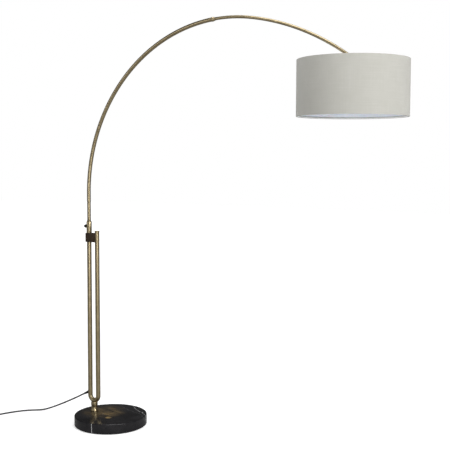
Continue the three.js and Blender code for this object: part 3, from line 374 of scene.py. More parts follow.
def eased_copy(node, width, bend=40, segments=3):
    """The node's own solid, merged, with its flat faces made whole and its arrises broken."""
    bm = bmesh.new()
    bm.from_mesh(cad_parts[node].data)
    bmesh.ops.remove_doubles(bm, verts=bm.verts, dist=2e-6)
    bmesh.ops.dissolve_limit(bm, angle_limit=math.radians(1.5), verts=bm.verts, edges=bm.edges)
    eased(bm, width, bend, segments=segments)
    return bm


bm = bmesh.new()
bmesh.ops.create_cube(bm, size=1, matrix=Matrix.Translation(Vector((-97.9, 0, 804.5)) * MM)
                      @ Matrix.Diagonal((54.8 * MM, 24 * MM, 39 * MM, 1)))
eased(bm, 1.4, segments=4)
block = finished(bm, "bridge_block_body", bronze, "stand", "bronze_block", "bridge_block")
holes = bmesh.new()
for leg in (REAR_X, FRONT_X):
    turned(holes, [(0, 780), (LEG_RADIUS + 0.15, 780), (LEG_RADIUS + 0.15, 830), (0, 830)], (leg, 0, 0),
           steps=48)
cut_away(block, holes)

bm = bmesh.new()
turned(bm, [(0, 1.8), (1.0, 1.75), (2.9, 1.35), (3.6, 0.7), (3.6, 0), (2, 0), (2, -23), (0, -24)],
       (-58.7, 0, 794), (1, 0, 0), steps=32, ease=0.2)
finished(bm, "bridge_screw_turned", brass, "stand", "antique_brass", "bridge_screw")


# ---- Clamp: sleeve, liner, pad, screw and knob ----
# A brass sleeve slips over the rear leg and guides the rod. A black knob drives a steel screw through it, and
# the screw's pad grips the rod.

nylon = speckled("white_nylon", (0.62, 0.61, 0.57), (0.78, 0.77, 0.73), 0.45, 0.6, 120, 1500)
black = speckled("black_plastic", (0.010, 0.010, 0.011), (0.022, 0.022, 0.023), 0.30, 0.48, 70, 2200,
                 0.00002)
CLAMP_Z = 852.8
THREAD_PITCH = 0.8

bm = bmesh.new()
turned(bm, [(10.3, 824.3), (11.5, 824.3), (11.5, 871.3), (9.5, 877.3), (8.3, 877.3), (8.3, 873.3),
            (10.0, 873.3), (10.0, 839.6), (10.3, 839.6), (10.3, 824.3)], (REAR_X, 0, 0), ease=0.25)
sleeve = finished(bm, "clamp_sleeve_turned", brass, "stand", "antique_brass", "clamp_sleeve")
holes = bmesh.new()
turned(holes, [(0, 8), (2.85, 8), (2.85, 13), (0, 13)], (REAR_X, 0, CLAMP_Z), (-1, 0, 0), steps=32)
cut_away(sleeve, holes)

bm = bmesh.new()
thread = [(0, 0)]
for turn_number in range(13):
    low = THREAD_PITCH * turn_number
    thread += [(2.5, 0.3 + low), (2.15, 0.7 + low)]
turned(bm, thread + [(2.4, 10.7), (0, 10.7)], (-122.8, 0, CLAMP_Z), (-1, 0, 0), steps=32)
finished(bm, "clamp_screw_turned", zinc, "clamp_handle", "zinc_steel", "clamp_screw")

bm = bmesh.new()
turned(bm, [(2.8, 0), (4.6, 0), (5.9, 0.9), (6.9, 2.4), (7.4, 4.2), (7.5, 5.6), (7.4, 7.2), (6.9, 8.9),
            (5.9, 10.4), (4.3, 11.5), (2.2, 12), (0, 12.1), (0, 7), (2.8, 7), (2.8, 0)],
       (-126.7, 0, CLAMP_Z), (-1, 0, 0), steps=48)
finished(bm, "clamp_knob_moulded", black, "clamp_handle", "black_plastic", "clamp_knob", smooth=50)


# ---- Arm ----
# Three lengths of brass tube, straight and then bent to one long arc. The lower two are butted over a steel
# stud, and a turned ferrule steps down to the thinner last one.

BEND_FOOT = 996
MAIN_BEND, MAIN_SWEEP = 690, math.radians(99.6)
LAST_BEND = 973
ROD_FOOT = 600
ROD_RADIUS, LAST_ROD_RADIUS = 8, 6
BEND_STEP = 9


def along_arm(length):
    """(place, heading, centre of the bend) on the arm's centreline, a length from the foot of the bend."""
    centre, radius = Vector((REAR_X + MAIN_BEND, 0, BEND_FOOT)), MAIN_BEND
    angle = length / MAIN_BEND
    if angle > MAIN_SWEEP:
        angle = MAIN_SWEEP + (length - MAIN_BEND * MAIN_SWEEP) / LAST_BEND
        centre += (LAST_BEND - MAIN_BEND) * Vector((math.cos(MAIN_SWEEP), 0, -math.sin(MAIN_SWEEP)))
        radius = LAST_BEND
    place = centre + radius * Vector((-math.cos(angle), 0, math.sin(angle)))
    return place, Vector((math.sin(angle), 0, math.cos(angle))), centre


def bent_rod(name, radius, bore, start, end, foot=None):
    """A length of the arm's tube between two lengths along it, with a straight foot below the bend."""
    bm = bmesh.new()
    place, heading, _ = along_arm(start)
    runs = []
    if foot is not None:
        place, heading = Vector((REAR_X, 0, foot)), Vector((0, 0, 1))
        runs.append(((0, 0, BEND_FOOT - foot),))
    main_end = MAIN_BEND * MAIN_SWEEP
    for low, high, bend in ((start, min(end, main_end), MAIN_BEND), (max(start, main_end), end, LAST_BEND)):
        if high > low:
            centre = along_arm((low + high) / 2)[2]
            runs.append((centre, (high - low) / bend, round((high - low) / BEND_STEP)))
    swept(bm, radius, place, heading, runs, sides=36, bore=bore)
    eased(bm, 0.25, 60)
    return finished(bm, name, brass, "arm", "antique_brass", name[:name.rindex("_")])


bent_rod("lower_rod_bent", ROD_RADIUS, 6.8, 0, 294, foot=ROD_FOOT)
bent_rod("middle_rod_bent", ROD_RADIUS, 6.8, 294.3, 1019.3)
bent_rod("end_rod_bent", LAST_ROD_RADIUS, 5, 1035.9,
         MAIN_BEND * MAIN_SWEEP + LAST_BEND * math.radians(25.7))

bm = bmesh.new()
turned(bm, [(3.3, -14), (5.9, -14), (5.9, 0), (8.3, 0), (8.8, 0.6), (8.8, 7.6), (8.5, 8.9), (7.5, 10.4),
            (7, 11.2), (7, 15.3), (6.5, 16), (4.1, 16), (4.1, 30), (3.3, 30), (3.3, -14)],
       along_arm(1019.6)[0], along_arm(1027.6)[1], ease=0.3)
finished(bm, "ferrule", brass, "arm", "antique_brass", "joint_ferrule")


# ---- Tilt knuckle ----
# A brass fork plugged into the end rod, with the shade's tongue between its cheeks, held by a pin and a hex
# nut.

for name, body in (("knuckle_fork", "arm"), ("knuckle_nut", "arm"), ("knuckle_tongue", "head")):
    finished(eased_copy(name, 0.45), f"{name}_filed", brass, body, "antique_brass", name)

PIVOT = Vector((1106.75, 0, 1500.664))
bm = bmesh.new()
turned(bm, [(0, -9.6), (3.6, -9.2), (4.5, -8.2), (4.6, -6.8), (2.5, -6.8), (2.5, 10.4), (2.1, 10.8),
            (0, 10.8)], PIVOT, (0, 1, 0), steps=32, ease=0.15)
finished(bm, "pivot_pin", brass, "arm", "antique_brass", "knuckle_pin")


# ---- Lamp holder and bulb ----
# A spun brass cap over a black moulded socket, with a ring nut that holds the shade's spider against its
# flange. The bulb is an opal globe on a screw cap.

ceramic = speckled("white_ceramic", (0.70, 0.70, 0.68), (0.82, 0.82, 0.80), 0.15, 0.25, 60, 900)
HOLDER = Vector((PIVOT.x, 0, 0))


def holder_outline(points):
    """Heights of the holder are given down from the pivot."""
    return [(radius, PIVOT.z + height) for radius, height in points]


bm = bmesh.new()
turned(bm, holder_outline([
    (5.3, -22.3), (9, -22.3), (12.5, -23.2), (15.6, -25.3), (18.2, -28.4), (19.7, -31.6), (20, -34),
    (20, -43.6), (20.4, -45), (18.3, -45), (18.3, -32.8), (14.3, -27.3), (9, -24), (5.3, -24),
    (5.3, -22.3)]), HOLDER, ease=0.3)
finished(bm, "holder_cap_spun", brass, "head", "antique_brass", "holder_cap", smooth=45)

bm = bmesh.new()
turned(bm, holder_outline([
    (14.8, -86.3), (18.9, -86.3), (19.5, -85.7), (19.5, -76), (19.1, -75.6), (19.1, -75), (19.5, -74.6),
    (19.5, -70), (19.1, -69.6), (19.1, -69), (19.5, -68.6), (19.5, -48.3), (23.5, -48.3),
    (23.5, -45.3), (18, -45.3), (18, -38.3), (14.8, -38.3), (14.8, -86.3)]), HOLDER, ease=0.15)
finished(bm, "holder_socket_moulded", black, "head", "black_plastic", "holder_socket")

bm = bmesh.new()
turned(bm, holder_outline([(20.1, -52.1), (27, -52.1), (27, -60.1), (20.1, -60.1), (20.1, -52.1)]), HOLDER,
       steps=72, ease=0.6)
rim = [f for f in bm.faces if abs(f.normal.z) < 0.3 and f.calc_area() > 1e-5
       and (f.calc_center_median() - HOLDER * MM).xy.length > 26.8 * MM]
bmesh.ops.inset_individual(bm, faces=rim[::2], thickness=0.0003, depth=-0.0007)
finished(bm, "shade_ring_nut_ribbed", black, "head", "black_plastic", "shade_ring_nut")

glass, tree, shader = new_finish("opal_glass", Coat_Weight=0.6, Coat_Roughness=0.08, Subsurface_Weight=0.25,
                                 Subsurface_Scale=0.004)
milk = add_node(tree, "ShaderNodeTexNoise", {"Vector": placed_on(tree), "Scale": 45.0, "Detail": 3.0})
tree.links.new(shades(tree, milk.outputs["Fac"], (0.80, 0.80, 0.78), (0.90, 0.90, 0.885)),
               shader.inputs["Base Color"])
tree.links.new(between(tree, milk.outputs["Fac"], 0.3, 0.7, 0.10, 0.2), shader.inputs["Roughness"])


GLOBE_TOP = -82.7


def globe_outline(wall):
    """Half the globe from its neck to its foot, set in by a wall."""
    ball, start, steps = 30, math.radians(38), 24
    centre = GLOBE_TOP - 74 + ball
    points = [(12.7 - wall, GLOBE_TOP), (13.0 - wall, GLOBE_TOP - 4), (14.2 - wall, GLOBE_TOP - 9),
              (17.5 - wall, GLOBE_TOP - 16)]
    for step in range(steps):
        angle = start - (start + math.pi / 2) * step / steps
        points.append(((ball - wall) * math.cos(angle), centre + (ball - wall) * math.sin(angle)))
    return points + [(0, centre - ball + wall)]


bulb_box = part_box("bulb_globe")
bm = bmesh.new()
turned(bm, [(radius, bulb_box[1][2] / MM - GLOBE_TOP + height)
            for radius, height in globe_outline(0) + globe_outline(1.2)[::-1] + globe_outline(0)[:1]],
       HOLDER, steps=64)
finished(bm, "bulb_globe_blown", glass, "head", "opal_glass", "bulb_globe", smooth=60)

cap_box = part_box("bulb_cap")
cap_top, cap_foot = cap_box[1][2] / MM, cap_box[0][2] / MM
screw = []
for turn_number in range(6):
    low = cap_top - 9 - 3.1 * turn_number
    screw += [(13.2, low), (13.2, low - 0.9), (12.2, low - 1.8), (12.2, low - 2.4)]
bm = bmesh.new()
shoulder = [(0, cap_top), (4.2, cap_top - 0.3), (4.5, cap_top - 2), (11.2, cap_top - 5),
            (12.2, cap_top - 7.5)]
turned(bm, shoulder + screw + [(13.2, cap_foot), (0, cap_foot)], HOLDER, steps=48)
finished(bm, "bulb_cap_threaded", zinc, "head", "zinc_steel", "bulb_cap", smooth=50)


# ---- Shade frame ----
# White-painted steel wire: a hub, three arms up to the top ring, and a loose bottom ring.

wire_white = speckled("white_wire", (0.68, 0.68, 0.67), (0.82, 0.82, 0.81), 0.30, 0.45, 80, 1400)
SHADE_X = PIVOT.x
SHADE_TOP, SHADE_FOOT = 1495.664, 1295.664
RING_RADIUS, RING_INSET = 196.3, 2.5


def wire_ring(bm, height):
    """A ring of the frame's wire, level, at a height."""
    section = bmesh.ops.create_circle(bm, segments=12, radius=1.5 * MM, matrix=Matrix.Translation(
        (RING_RADIUS * MM, 0, height * MM)) @ Matrix.Rotation(math.pi / 2, 4, "X"))["verts"]
    edges = list({edge for vert in section for edge in vert.link_edges})
    old = set(bm.verts) - set(section)
    bmesh.ops.spin(bm, geom=section + edges, cent=(0, 0, 0), axis=(0, 0, 1), angle=2 * math.pi, steps=144,
                   use_merge=True, use_duplicate=False)
    bmesh.ops.remove_doubles(bm, verts=[v for v in bm.verts if v not in old], dist=1e-6)
    made = [v for v in bm.verts if v not in old]
    bmesh.ops.translate(bm, verts=made, vec=(SHADE_X * MM, 0, 0))


bm = bmesh.new()
wire_ring(bm, SHADE_TOP - RING_INSET)
hub = holder_outline([(20.1, -48.6), (29, -48.6), (29, -51.8), (20.1, -51.8), (20.1, -48.6)])
turned(bm, hub, HOLDER, steps=64, ease=0.5)
hub_z = PIVOT.z - 50.2
for arm_number in range(3):
    angle = math.pi + arm_number * 2 * math.pi / 3
    across = Vector((math.cos(angle), math.sin(angle), 0))
    inner = HOLDER + 27 * across + Vector((0, 0, hub_z))
    outer = HOLDER + RING_RADIUS * across + Vector((0, 0, SHADE_TOP - RING_INSET))
    reach = (outer - inner).length
    turned(bm, [(0, 0), (1.3, 0), (1.6, 0.6), (1.6, reach - 0.5), (1.2, reach), (0, reach)], inner,
           outer - inner, steps=16)
finished(bm, "shade_spider_wire", wire_white, "head", "white_wire", "shade_spider", smooth=50)

bm = bmesh.new()
wire_ring(bm, SHADE_FOOT + RING_INSET)
finished(bm, "shade_bottom_wire", wire_white, "head", "white_wire", "shade_bottom_ring", smooth=50)


# ---- Shade cover and liner ----
# Natural linen laminated to a white styrene skin, rolled into a drum, lapped at the back and turned in at the
# rings. The lap is a second thickness of cloth.

SHADE_RADIUS = 200
HEM, TURNED_IN = 7.0, 2.15
CLOTH_STEPS = 216
THREADS = 1150.0


def weave_group():
    """Shared by the cloths: a plain weave's height, and slubs where a thread is thicker, in metres."""
    group = bpy.data.node_groups.new("weave", "ShaderNodeTree")
    group.interface.new_socket("Vector", in_out="INPUT", socket_type="NodeSocketVector")
    group.interface.new_socket("Threads", in_out="INPUT", socket_type="NodeSocketFloat")
    group.interface.new_socket("Height", in_out="OUTPUT", socket_type="NodeSocketFloat")
    group.interface.new_socket("Slub", in_out="OUTPUT", socket_type="NodeSocketFloat")
    given = group.nodes.new("NodeGroupInput").outputs
    wobble = add_node(group, "ShaderNodeTexNoise",
                      {"Vector": given["Vector"], "Scale": 90.0, "Detail": 2.0})
    soft = add_node(group, "ShaderNodeVectorMath", {0: wobble.outputs["Color"], 1: (0.0006, 0.0006, 0)},
                    operation="MULTIPLY")
    moved = add_node(group, "ShaderNodeVectorMath", {0: given["Vector"], 1: soft.outputs[0]},
                     operation="ADD")
    parts = add_node(group, "ShaderNodeSeparateXYZ", {0: moved.outputs[0]}).outputs
    waves = []
    for axis in ("X", "Y"):
        phase = sums(group, "MULTIPLY", sums(group, "MULTIPLY", parts[axis], given["Threads"]), math.pi)
        waves.append(add_node(group, "ShaderNodeMath", {0: phase}, operation="SINE").outputs[0])
    cross = sums(group, "MULTIPLY", waves[0], waves[1])
    slubs = None
    for scale in ((9, 420, 1), (420, 9, 1)):
        stretched = add_node(group, "ShaderNodeVectorMath", {0: given["Vector"], 1: scale},
                             operation="MULTIPLY")
        streak = add_node(group, "ShaderNodeTexNoise",
                          {"Vector": stretched.outputs[0], "Scale": 1.0, "Detail": 3.0})
        mask = between(group, streak.outputs["Fac"], 0.42, 0.78)
        slubs = mask if slubs is None else sums(group, "ADD", sums(group, "MULTIPLY", slubs, 0.55),
                                                sums(group, "MULTIPLY", mask, 0.45))
    height = sums(group, "ADD", sums(group, "MULTIPLY", cross, 0.5), slubs)
    result = group.nodes.new("NodeGroupOutput").inputs
    group.links.new(height, result["Height"])
    group.links.new(slubs, result["Slub"])
    return group


weave = weave_group()


def cloth_map(tree):
    return add_node(tree, "ShaderNodeUVMap", uv_map="cloth").outputs["UV"]


def woven(name, dark, light, threads, depth, rough, place=cloth_map, **values):
    """A cloth made with the weave group, laid out on its flat sheet or by another placing."""
    finish, tree, shader = new_finish(name, **values)
    source = place(tree)
    cloth = add_node(tree, "ShaderNodeGroup", {"Vector": source, "Threads": threads}, node_tree=weave)
    broad = add_node(tree, "ShaderNodeTexNoise", {"Vector": source, "Scale": 22.0, "Detail": 3.0})
    tint = sums(tree, "ADD", sums(tree, "MULTIPLY", cloth.outputs["Slub"], 0.45),
                sums(tree, "MULTIPLY", broad.outputs["Fac"], 0.6))
    tree.links.new(shades(tree, tint, dark, light), shader.inputs["Base Color"])
    tree.links.new(between(tree, cloth.outputs["Slub"], 0.0, 1.0, rough, rough - 0.12),
                   shader.inputs["Roughness"])
    raised(tree, shader, cloth.outputs["Height"], depth)
    return finish


linen = woven("greige_linen", (0.362, 0.356, 0.321), (0.432, 0.427, 0.396), THREADS, 0.00020, 0.95,
              Sheen_Weight=0.2, Sheen_Roughness=0.5)


def unrolled(bm, radius, centre_x):
    """Lays a round wall's UVs out flat, in metres, round it and up it."""
    layer = bm.loops.layers.uv.new("cloth")
    for face in bm.faces:
        middle = face.calc_center_median()
        facing = math.atan2(middle.y, middle.x - centre_x)
        for loop in face.loops:
            place = loop.vert.co
            angle = math.atan2(place.y, place.x - centre_x)
            angle += 2 * math.pi * round((facing - angle) / (2 * math.pi))
            loop[layer].uv = (angle * radius, place.z + (place.xy - Vector((centre_x, 0))).length)


bm = bmesh.new()
half = [(199.2, 0.35), (198.35, 0.35), (198.35, HEM), (SHADE_RADIUS - TURNED_IN, HEM),
        (SHADE_RADIUS - TURNED_IN, 0), (SHADE_RADIUS, 0)]
outline = [(radius, SHADE_FOOT + height) for radius, height in half]
outline += [(SHADE_RADIUS, (SHADE_FOOT + SHADE_TOP) / 2)]
outline += [(radius, SHADE_TOP - height) for radius, height in half[::-1]] + [(199.2, SHADE_FOOT + 0.35)]
turned(bm, outline, (SHADE_X, 0, 0), steps=CLOTH_STEPS, ease=0.2, bend=50)
lap = [face for face in bm.faces if face.calc_center_median().x < (SHADE_X - SHADE_RADIUS + 1) * MM
       and abs(face.calc_center_median().y) < 7 * MM and abs(face.normal.z) < 0.5
       and (face.calc_center_median().xy - Vector((SHADE_X * MM, 0))).length > (SHADE_RADIUS - 0.3) * MM]
bmesh.ops.inset_region(bm, faces=lap, thickness=0.0003, depth=0.0006, use_boundary=True,
                       use_even_offset=True)
unrolled(bm, SHADE_RADIUS * MM, SHADE_X * MM)
cover = finished(bm, "linen_cover", linen, "head", "greige_linen", "shade_fabric")

skin, tree, shader = new_finish("white_liner", Coat_Weight=0.1, Subsurface_Weight=0.15,
                                Subsurface_Scale=0.002)
laminate = add_node(tree, "ShaderNodeGroup", {"Vector": cloth_map(tree), "Threads": THREADS},
                    node_tree=weave)
tree.links.new(shades(tree, laminate.outputs["Slub"], (0.66, 0.68, 0.74), (0.76, 0.78, 0.83)),
               shader.inputs["Base Color"])
tree.links.new(between(tree, laminate.outputs["Slub"], 0.0, 1.0, 0.55, 0.42), shader.inputs["Roughness"])
raised(tree, shader, laminate.outputs["Height"], 0.00003)
bm = bmesh.new()
turned(bm, [(198.4, SHADE_FOOT + 0.5), (198.9, SHADE_FOOT + 0.5), (198.9, SHADE_TOP - 0.5),
            (198.4, SHADE_TOP - 0.5), (198.4, SHADE_FOOT + 0.5)], (SHADE_X, 0, 0), steps=CLOTH_STEPS)
unrolled(bm, SHADE_RADIUS * MM, SHADE_X * MM)
finished(bm, "styrene_liner", skin, "head", "white_liner", "shade_liner")


# ---- Cord and gland ----
# Grey round flex, 7 mm over its sheath. It leaves the foot of the rear leg through a moulded gland, sags to
# the floor, runs through the foot switch and is wound into a coil, with its last end at the plug.

CORD_RADIUS = 3.5
cord_grey, tree, shader = new_finish("grey_cord", IOR=1.48)
mixed = add_node(tree, "ShaderNodeGroup", {"Vector": placed_on(tree)}, node_tree=speckle)
for socket, value in (("Cloud Scale", 30.0), ("Grain Scale", 1800.0), ("Dark", (0.030, 0.030, 0.032, 1)),
                      ("Light", (0.052, 0.052, 0.055, 1)), ("Smooth", 0.42), ("Rough", 0.6)):
    mixed.inputs[socket].default_value = value
tree.links.new(mixed.outputs["Color"], shader.inputs["Base Color"])
tree.links.new(mixed.outputs["Roughness"], shader.inputs["Roughness"])
raised(tree, shader, mixed.outputs["Height"], 0.00004)

bm = bmesh.new()
GLAND_HEADING = Vector((-math.cos(math.radians(26)), 0, -math.sin(math.radians(26))))
GLAND_ROOT = Vector((REAR_X, 0, 129))
gland = [(4.3, 8.6), (4.3, 9.6), (6.5, 9.6), (6.5, 14.1), (5.6, 15.1)]
for rib in range(5):
    low, size = 16.0 + 3.8 * rib, 5.55 - 0.2 * rib
    gland += [(size, low), (size, low + 1.9), (size - 0.6, low + 2.4), (size - 0.6, low + 3.3)]
turned(bm, [(0, 8.6)] + gland + [(4.5, 36), (4.3, 37.1), (0, 37.1)], GLAND_ROOT, GLAND_HEADING, steps=40)
gland_piece = finished(bm, "gland", black, "stand", "black_plastic", "cord_gland")

LEAD = [
    (-146.9, 0, 112.5), (-160, 0, 106.0), (-175, 0, 97.9), (-205, 0, 82.8), (-235, 0, 68.2),
    (-265, 0, 53.9), (-295, 0, 40.3), (-325, -1, 27.2), (-350, -4, 16.9), (-372, -9, 9.3),
    (-392, -17, 5.0), (-412, -29, 3.5), (-432, -45, 3.5), (-450, -65, 3.5), (-466, -89, 3.5),
    (-480, -116, 3.5), (-492, -143, 3.5), (-500, -167, 3.5), (-501.8, -188.9, 3.5),
    (-497.8, -209.3, 3.5), (-490.3, -225.6, 4.3), (-483.1, -235.7, 5.5), (-457.7, -259.8, 5.5),
    (-432.2, -284.0, 5.5), (-424.8, -293.7, 4.4), (-420.8, -308.4, 3.5), (-424.8, -323.2, 3.5),
    (-435.6, -334.0, 3.5), (-450.3, -339.8, 3.5), (-473.1, -344.4, 3.5), (-494.2, -349.2, 3.5),
    (-519.2, -351.8, 3.5),
]
PLUG_LEAD = [
    (-557.9, -252.8, 3.5), (-552.2, -236.1, 3.5), (-555.8, -221.0, 4.4), (-566.7, -208.2, 6.5),
    (-575.1, -200.2, 6.85),
]
COIL_MIDDLE = Vector((-526.6, -297.7, 0))
COIL_START = math.radians(-133.5)
FLOOR_LAYER, TOP_LAYER, CROSSING = 4.5, 10.62, 11.9
PITCH, TOUCHING = 7, 7.05
OUTER_TURN = 47
CLIMB_START, CLIMB_END = 868, 983
FALL_START, FALL_END = 1800, 1880


def eased_share(turned_to, start, end):
    """How far a change has gone, with a soft start and end."""
    share = min(max((turned_to - start) / (end - start), 0), 1)
    return (1 - math.cos(math.pi * share)) / 2


def coil_place(degrees):
    """(radius, height) of the coil's line once it has wound through some degrees."""
    if degrees < CLIMB_START:
        steps_in = eased_share(degrees, 260, 360) + eased_share(degrees, 620, 720)
        return OUTER_TURN - PITCH * steps_in, FLOOR_LAYER
    if degrees < CLIMB_END:
        climb = math.radians(60) * eased_share(degrees, CLIMB_START, CLIMB_END)
        return (OUTER_TURN - PITCH - TOUCHING * math.cos(climb),
                FLOOR_LAYER + TOUCHING * math.sin(climb))
    if degrees > FALL_START:
        fall = math.radians(60 - 60 * eased_share(degrees, FALL_START, FALL_END))
        return OUTER_TURN + 0.1 + TOUCHING * math.cos(fall), FLOOR_LAYER + TOUCHING * math.sin(fall)
    hump = sum(math.sin(math.pi * min(max((degrees - start) / 100, 0), 1))
               for start in (980, 1235, 1340, 1595))
    if degrees > 1645:
        hump = max(hump, 1 - eased_share(degrees, 1776, 1806))
    steps_out = eased_share(degrees, 1235, 1335) + eased_share(degrees, 1595, 1695)
    radius = OUTER_TURN - 1.5 * PITCH + PITCH * steps_out
    return radius, TOP_LAYER + (CROSSING - TOP_LAYER) * min(hump, 1)


def on_coil(degrees, radius, height):
    heading = COIL_START - math.radians(degrees)
    return COIL_MIDDLE + Vector((radius * math.cos(heading), radius * math.sin(heading), height))


approach = [on_coil(-29, 51.5, 4.0), on_coil(-14, 49.0, 4.4), on_coil(0, OUTER_TURN, FLOOR_LAYER)]
coil = [on_coil(degrees, *coil_place(degrees)) for degrees in range(15, 1876, 15)]
route = [Vector(point) * MM for point in [*LEAD, *approach, *coil, *PLUG_LEAD]]
curve = bpy.data.curves.new("cord", "CURVE")
curve.dimensions = "3D"
curve.resolution_u = 6
curve.bevel_depth = CORD_RADIUS * MM
curve.bevel_resolution = 5
curve.use_fill_caps = True
line = curve.splines.new("BEZIER")
line.bezier_points.add(len(route) - 1)
for knot, place in zip(line.bezier_points, route):
    knot.co = place
    knot.handle_left_type = knot.handle_right_type = "AUTO"
curve.materials.append(cord_grey)
cord = bpy.data.objects.new("cord", curve)
bpy.context.collection.objects.link(cord)
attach(cord, "stand")
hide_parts("cord_lead", "cord_switch_lead", "cord_coil", "cord_plug_lead")


# ---- Foot switch ----
# Two moulded shells screwed together round the contact block, with a round push button that springs back.

SWITCH_MIDDLE = Vector((-457.7, -259.8, 0))
SWITCH_TURN = Matrix.Rotation(math.radians(-43.5), 4, "Z")


def rounded_slab(bm, length, width, corner, bottom, top, rim=0.0):
    """A slab with rounded corners, and its upper rim eased."""
    old = set(bm.verts)
    bmesh.ops.create_cube(bm, size=1, matrix=Matrix.Translation((0, 0, (bottom + top) / 2 * MM))
                          @ Matrix.Diagonal((length * MM, width * MM, (top - bottom) * MM, 1)))
    upright = [e for e in bm.edges if e.verts[0] not in old
               and abs((e.verts[0].co - e.verts[1].co).z) > 1e-5]
    bmesh.ops.bevel(bm, geom=upright, offset=corner * MM, offset_type="OFFSET", segments=10, profile=0.5,
                    affect="EDGES", clamp_overlap=True, material=-1)
    if rim:
        upper = [e for e in bm.edges if e.verts[0] not in old
                 and min(v.co.z for v in e.verts) > (top - 0.01) * MM]
        bmesh.ops.bevel(bm, geom=upper, offset=rim * MM, offset_type="OFFSET", segments=5, profile=0.5,
                        affect="EDGES", clamp_overlap=True, material=-1)


def stand_at(bm, place, turn):
    bmesh.ops.transform(bm, matrix=Matrix.Translation(place * MM) @ turn, verts=bm.verts)


bm = bmesh.new()
rounded_slab(bm, 68, 38, 10, 0, 9)
stand_at(bm, SWITCH_MIDDLE, SWITCH_TURN)
shell = finished(bm, "switch_lower_shell", black, "stand", "black_plastic", "foot_switch_base")
room = bmesh.new()
rounded_slab(room, 64, 34, 8, 2, 12)
stand_at(room, SWITCH_MIDDLE, SWITCH_TURN)
cut_away(shell, room)

bm = bmesh.new()
rounded_slab(bm, 68, 38, 10, 9.3, 21, rim=3.2)
stand_at(bm, SWITCH_MIDDLE, SWITCH_TURN)
lid = finished(bm, "switch_upper_shell", black, "stand", "black_plastic", "foot_switch_cover")
room = bmesh.new()
rounded_slab(room, 64, 34, 8, 5, 18.6)
stand_at(room, SWITCH_MIDDLE, SWITCH_TURN)
cut_away(lid, room)
button_hole = bmesh.new()
turned(button_hole, [(0, 15), (12.7, 15), (12.7, 30), (0, 30)], SWITCH_MIDDLE, steps=48)
cut_away(lid, button_hole)

bm = bmesh.new()
turned(bm, [(0, 16), (12, 16), (12, 22.6), (11.5, 24), (10.2, 25), (8, 24.6), (4, 24.1), (0, 24)],
       SWITCH_MIDDLE, steps=48, ease=0.4, bend=40)
finished(bm, "switch_button", black, "foot_button", "black_plastic", "foot_switch_button")


# ---- Tie ----
# A woven black strap closed round the coil's turns.

strap = woven("black_webbing", (0.012, 0.012, 0.012), (0.030, 0.030, 0.031), 900.0, 0.0002, 0.85,
              place=placed_on)
bm = bmesh.new()
corners = [bm.verts.new((x * MM, -0.005, z * MM))
           for x, z in ((28.3, 0.35), (51.7, 0.35), (51.7, 14.85), (28.3, 14.85))]
for first, second in zip(corners, corners[1:] + corners[:1]):
    bm.edges.new((first, second))
bmesh.ops.bevel(bm, geom=corners, offset=3.2 * MM, offset_type="OFFSET", segments=5, profile=0.5,
                affect="VERTICES", clamp_overlap=True, material=-1)
made = bmesh.ops.extrude_edge_only(bm, edges=bm.edges)["geom"]
bmesh.ops.translate(bm, verts=[item for item in made if isinstance(item, bmesh.types.BMVert)],
                    vec=(0, 0.01, 0))
bmesh.ops.recalc_face_normals(bm, faces=bm.faces)
bmesh.ops.solidify(bm, geom=bm.faces, thickness=0.0006)
stand_at(bm, COIL_MIDDLE, Matrix.Rotation(math.radians(83.5), 4, "Z"))
tie = finished(bm, "cord_tie_strap", strap, "stand", "black_plastic", "cord_tie")


# ---- Plug ----
# A flat two-pin plug moulded on the flex, tapered back into its strain relief. The pins are sleeved for half
# their length.

PLUG_PLACE = Vector((-575.54, -199.79, 0))
PLUG_TURN = Matrix.Rotation(math.radians(136.5), 4, "Z")
PLUG_MIDDLE = 6.85
bm = bmesh.new()
bmesh.ops.create_cube(bm, size=1, matrix=Matrix.Translation(Vector((38, 0, PLUG_MIDDLE)) * MM)
                      @ Matrix.Diagonal((36 * MM, 26 * MM, 2 * PLUG_MIDDLE * MM, 1)))
for vert in bm.verts:
    if vert.co.x < 30 * MM:
        vert.co.y *= 0.56
        vert.co.z = PLUG_MIDDLE * MM + (vert.co.z - PLUG_MIDDLE * MM) * 0.88
bmesh.ops.bevel(bm, geom=bm.edges, offset=3.6 * MM, offset_type="OFFSET", segments=6, profile=0.5,
                affect="EDGES", clamp_overlap=True, material=-1)
stand_at(bm, PLUG_PLACE, PLUG_TURN)
plug = finished(bm, "plug_moulding", black, "stand", "black_plastic", "plug_body")

bm = bmesh.new()
relief = [(0, 0.2), (4.3, 0.2)]
for rib in range(4):
    low, size = 1.2 + 4.4 * rib, 4.6 + 0.32 * rib
    relief += [(size, low), (size + 0.1, low + 2.4), (size - 0.5, low + 2.9), (size - 0.5, low + 3.9)]
turned(bm, relief + [(5.8, 19), (5.8, 24), (0, 24)], (0, 0, PLUG_MIDDLE), (1, 0, 0), steps=40)
stand_at(bm, PLUG_PLACE, PLUG_TURN)
plug_relief = finished(bm, "plug_relief", black, "stand", "black_plastic")

for side, y in (("left", 9.3), ("right", -9.3)):
    bm = bmesh.new()
    turned(bm, [(0, 56.1), (1.95, 56.1), (1.95, 66), (2, 66), (2, 73.8), (1.4, 75), (0, 75.3)],
           (0, y, PLUG_MIDDLE), (1, 0, 0), steps=28)
    stand_at(bm, PLUG_PLACE, PLUG_TURN)
    finished(bm, f"plug_pin_{side}_turned", zinc, "stand", "zinc_steel", f"plug_pin_{side}")


# ---- Hidden parts ----
# The fixings, bush, liner, inner flex and contacts keep the shapes of their nodes and get their finishes
# here.

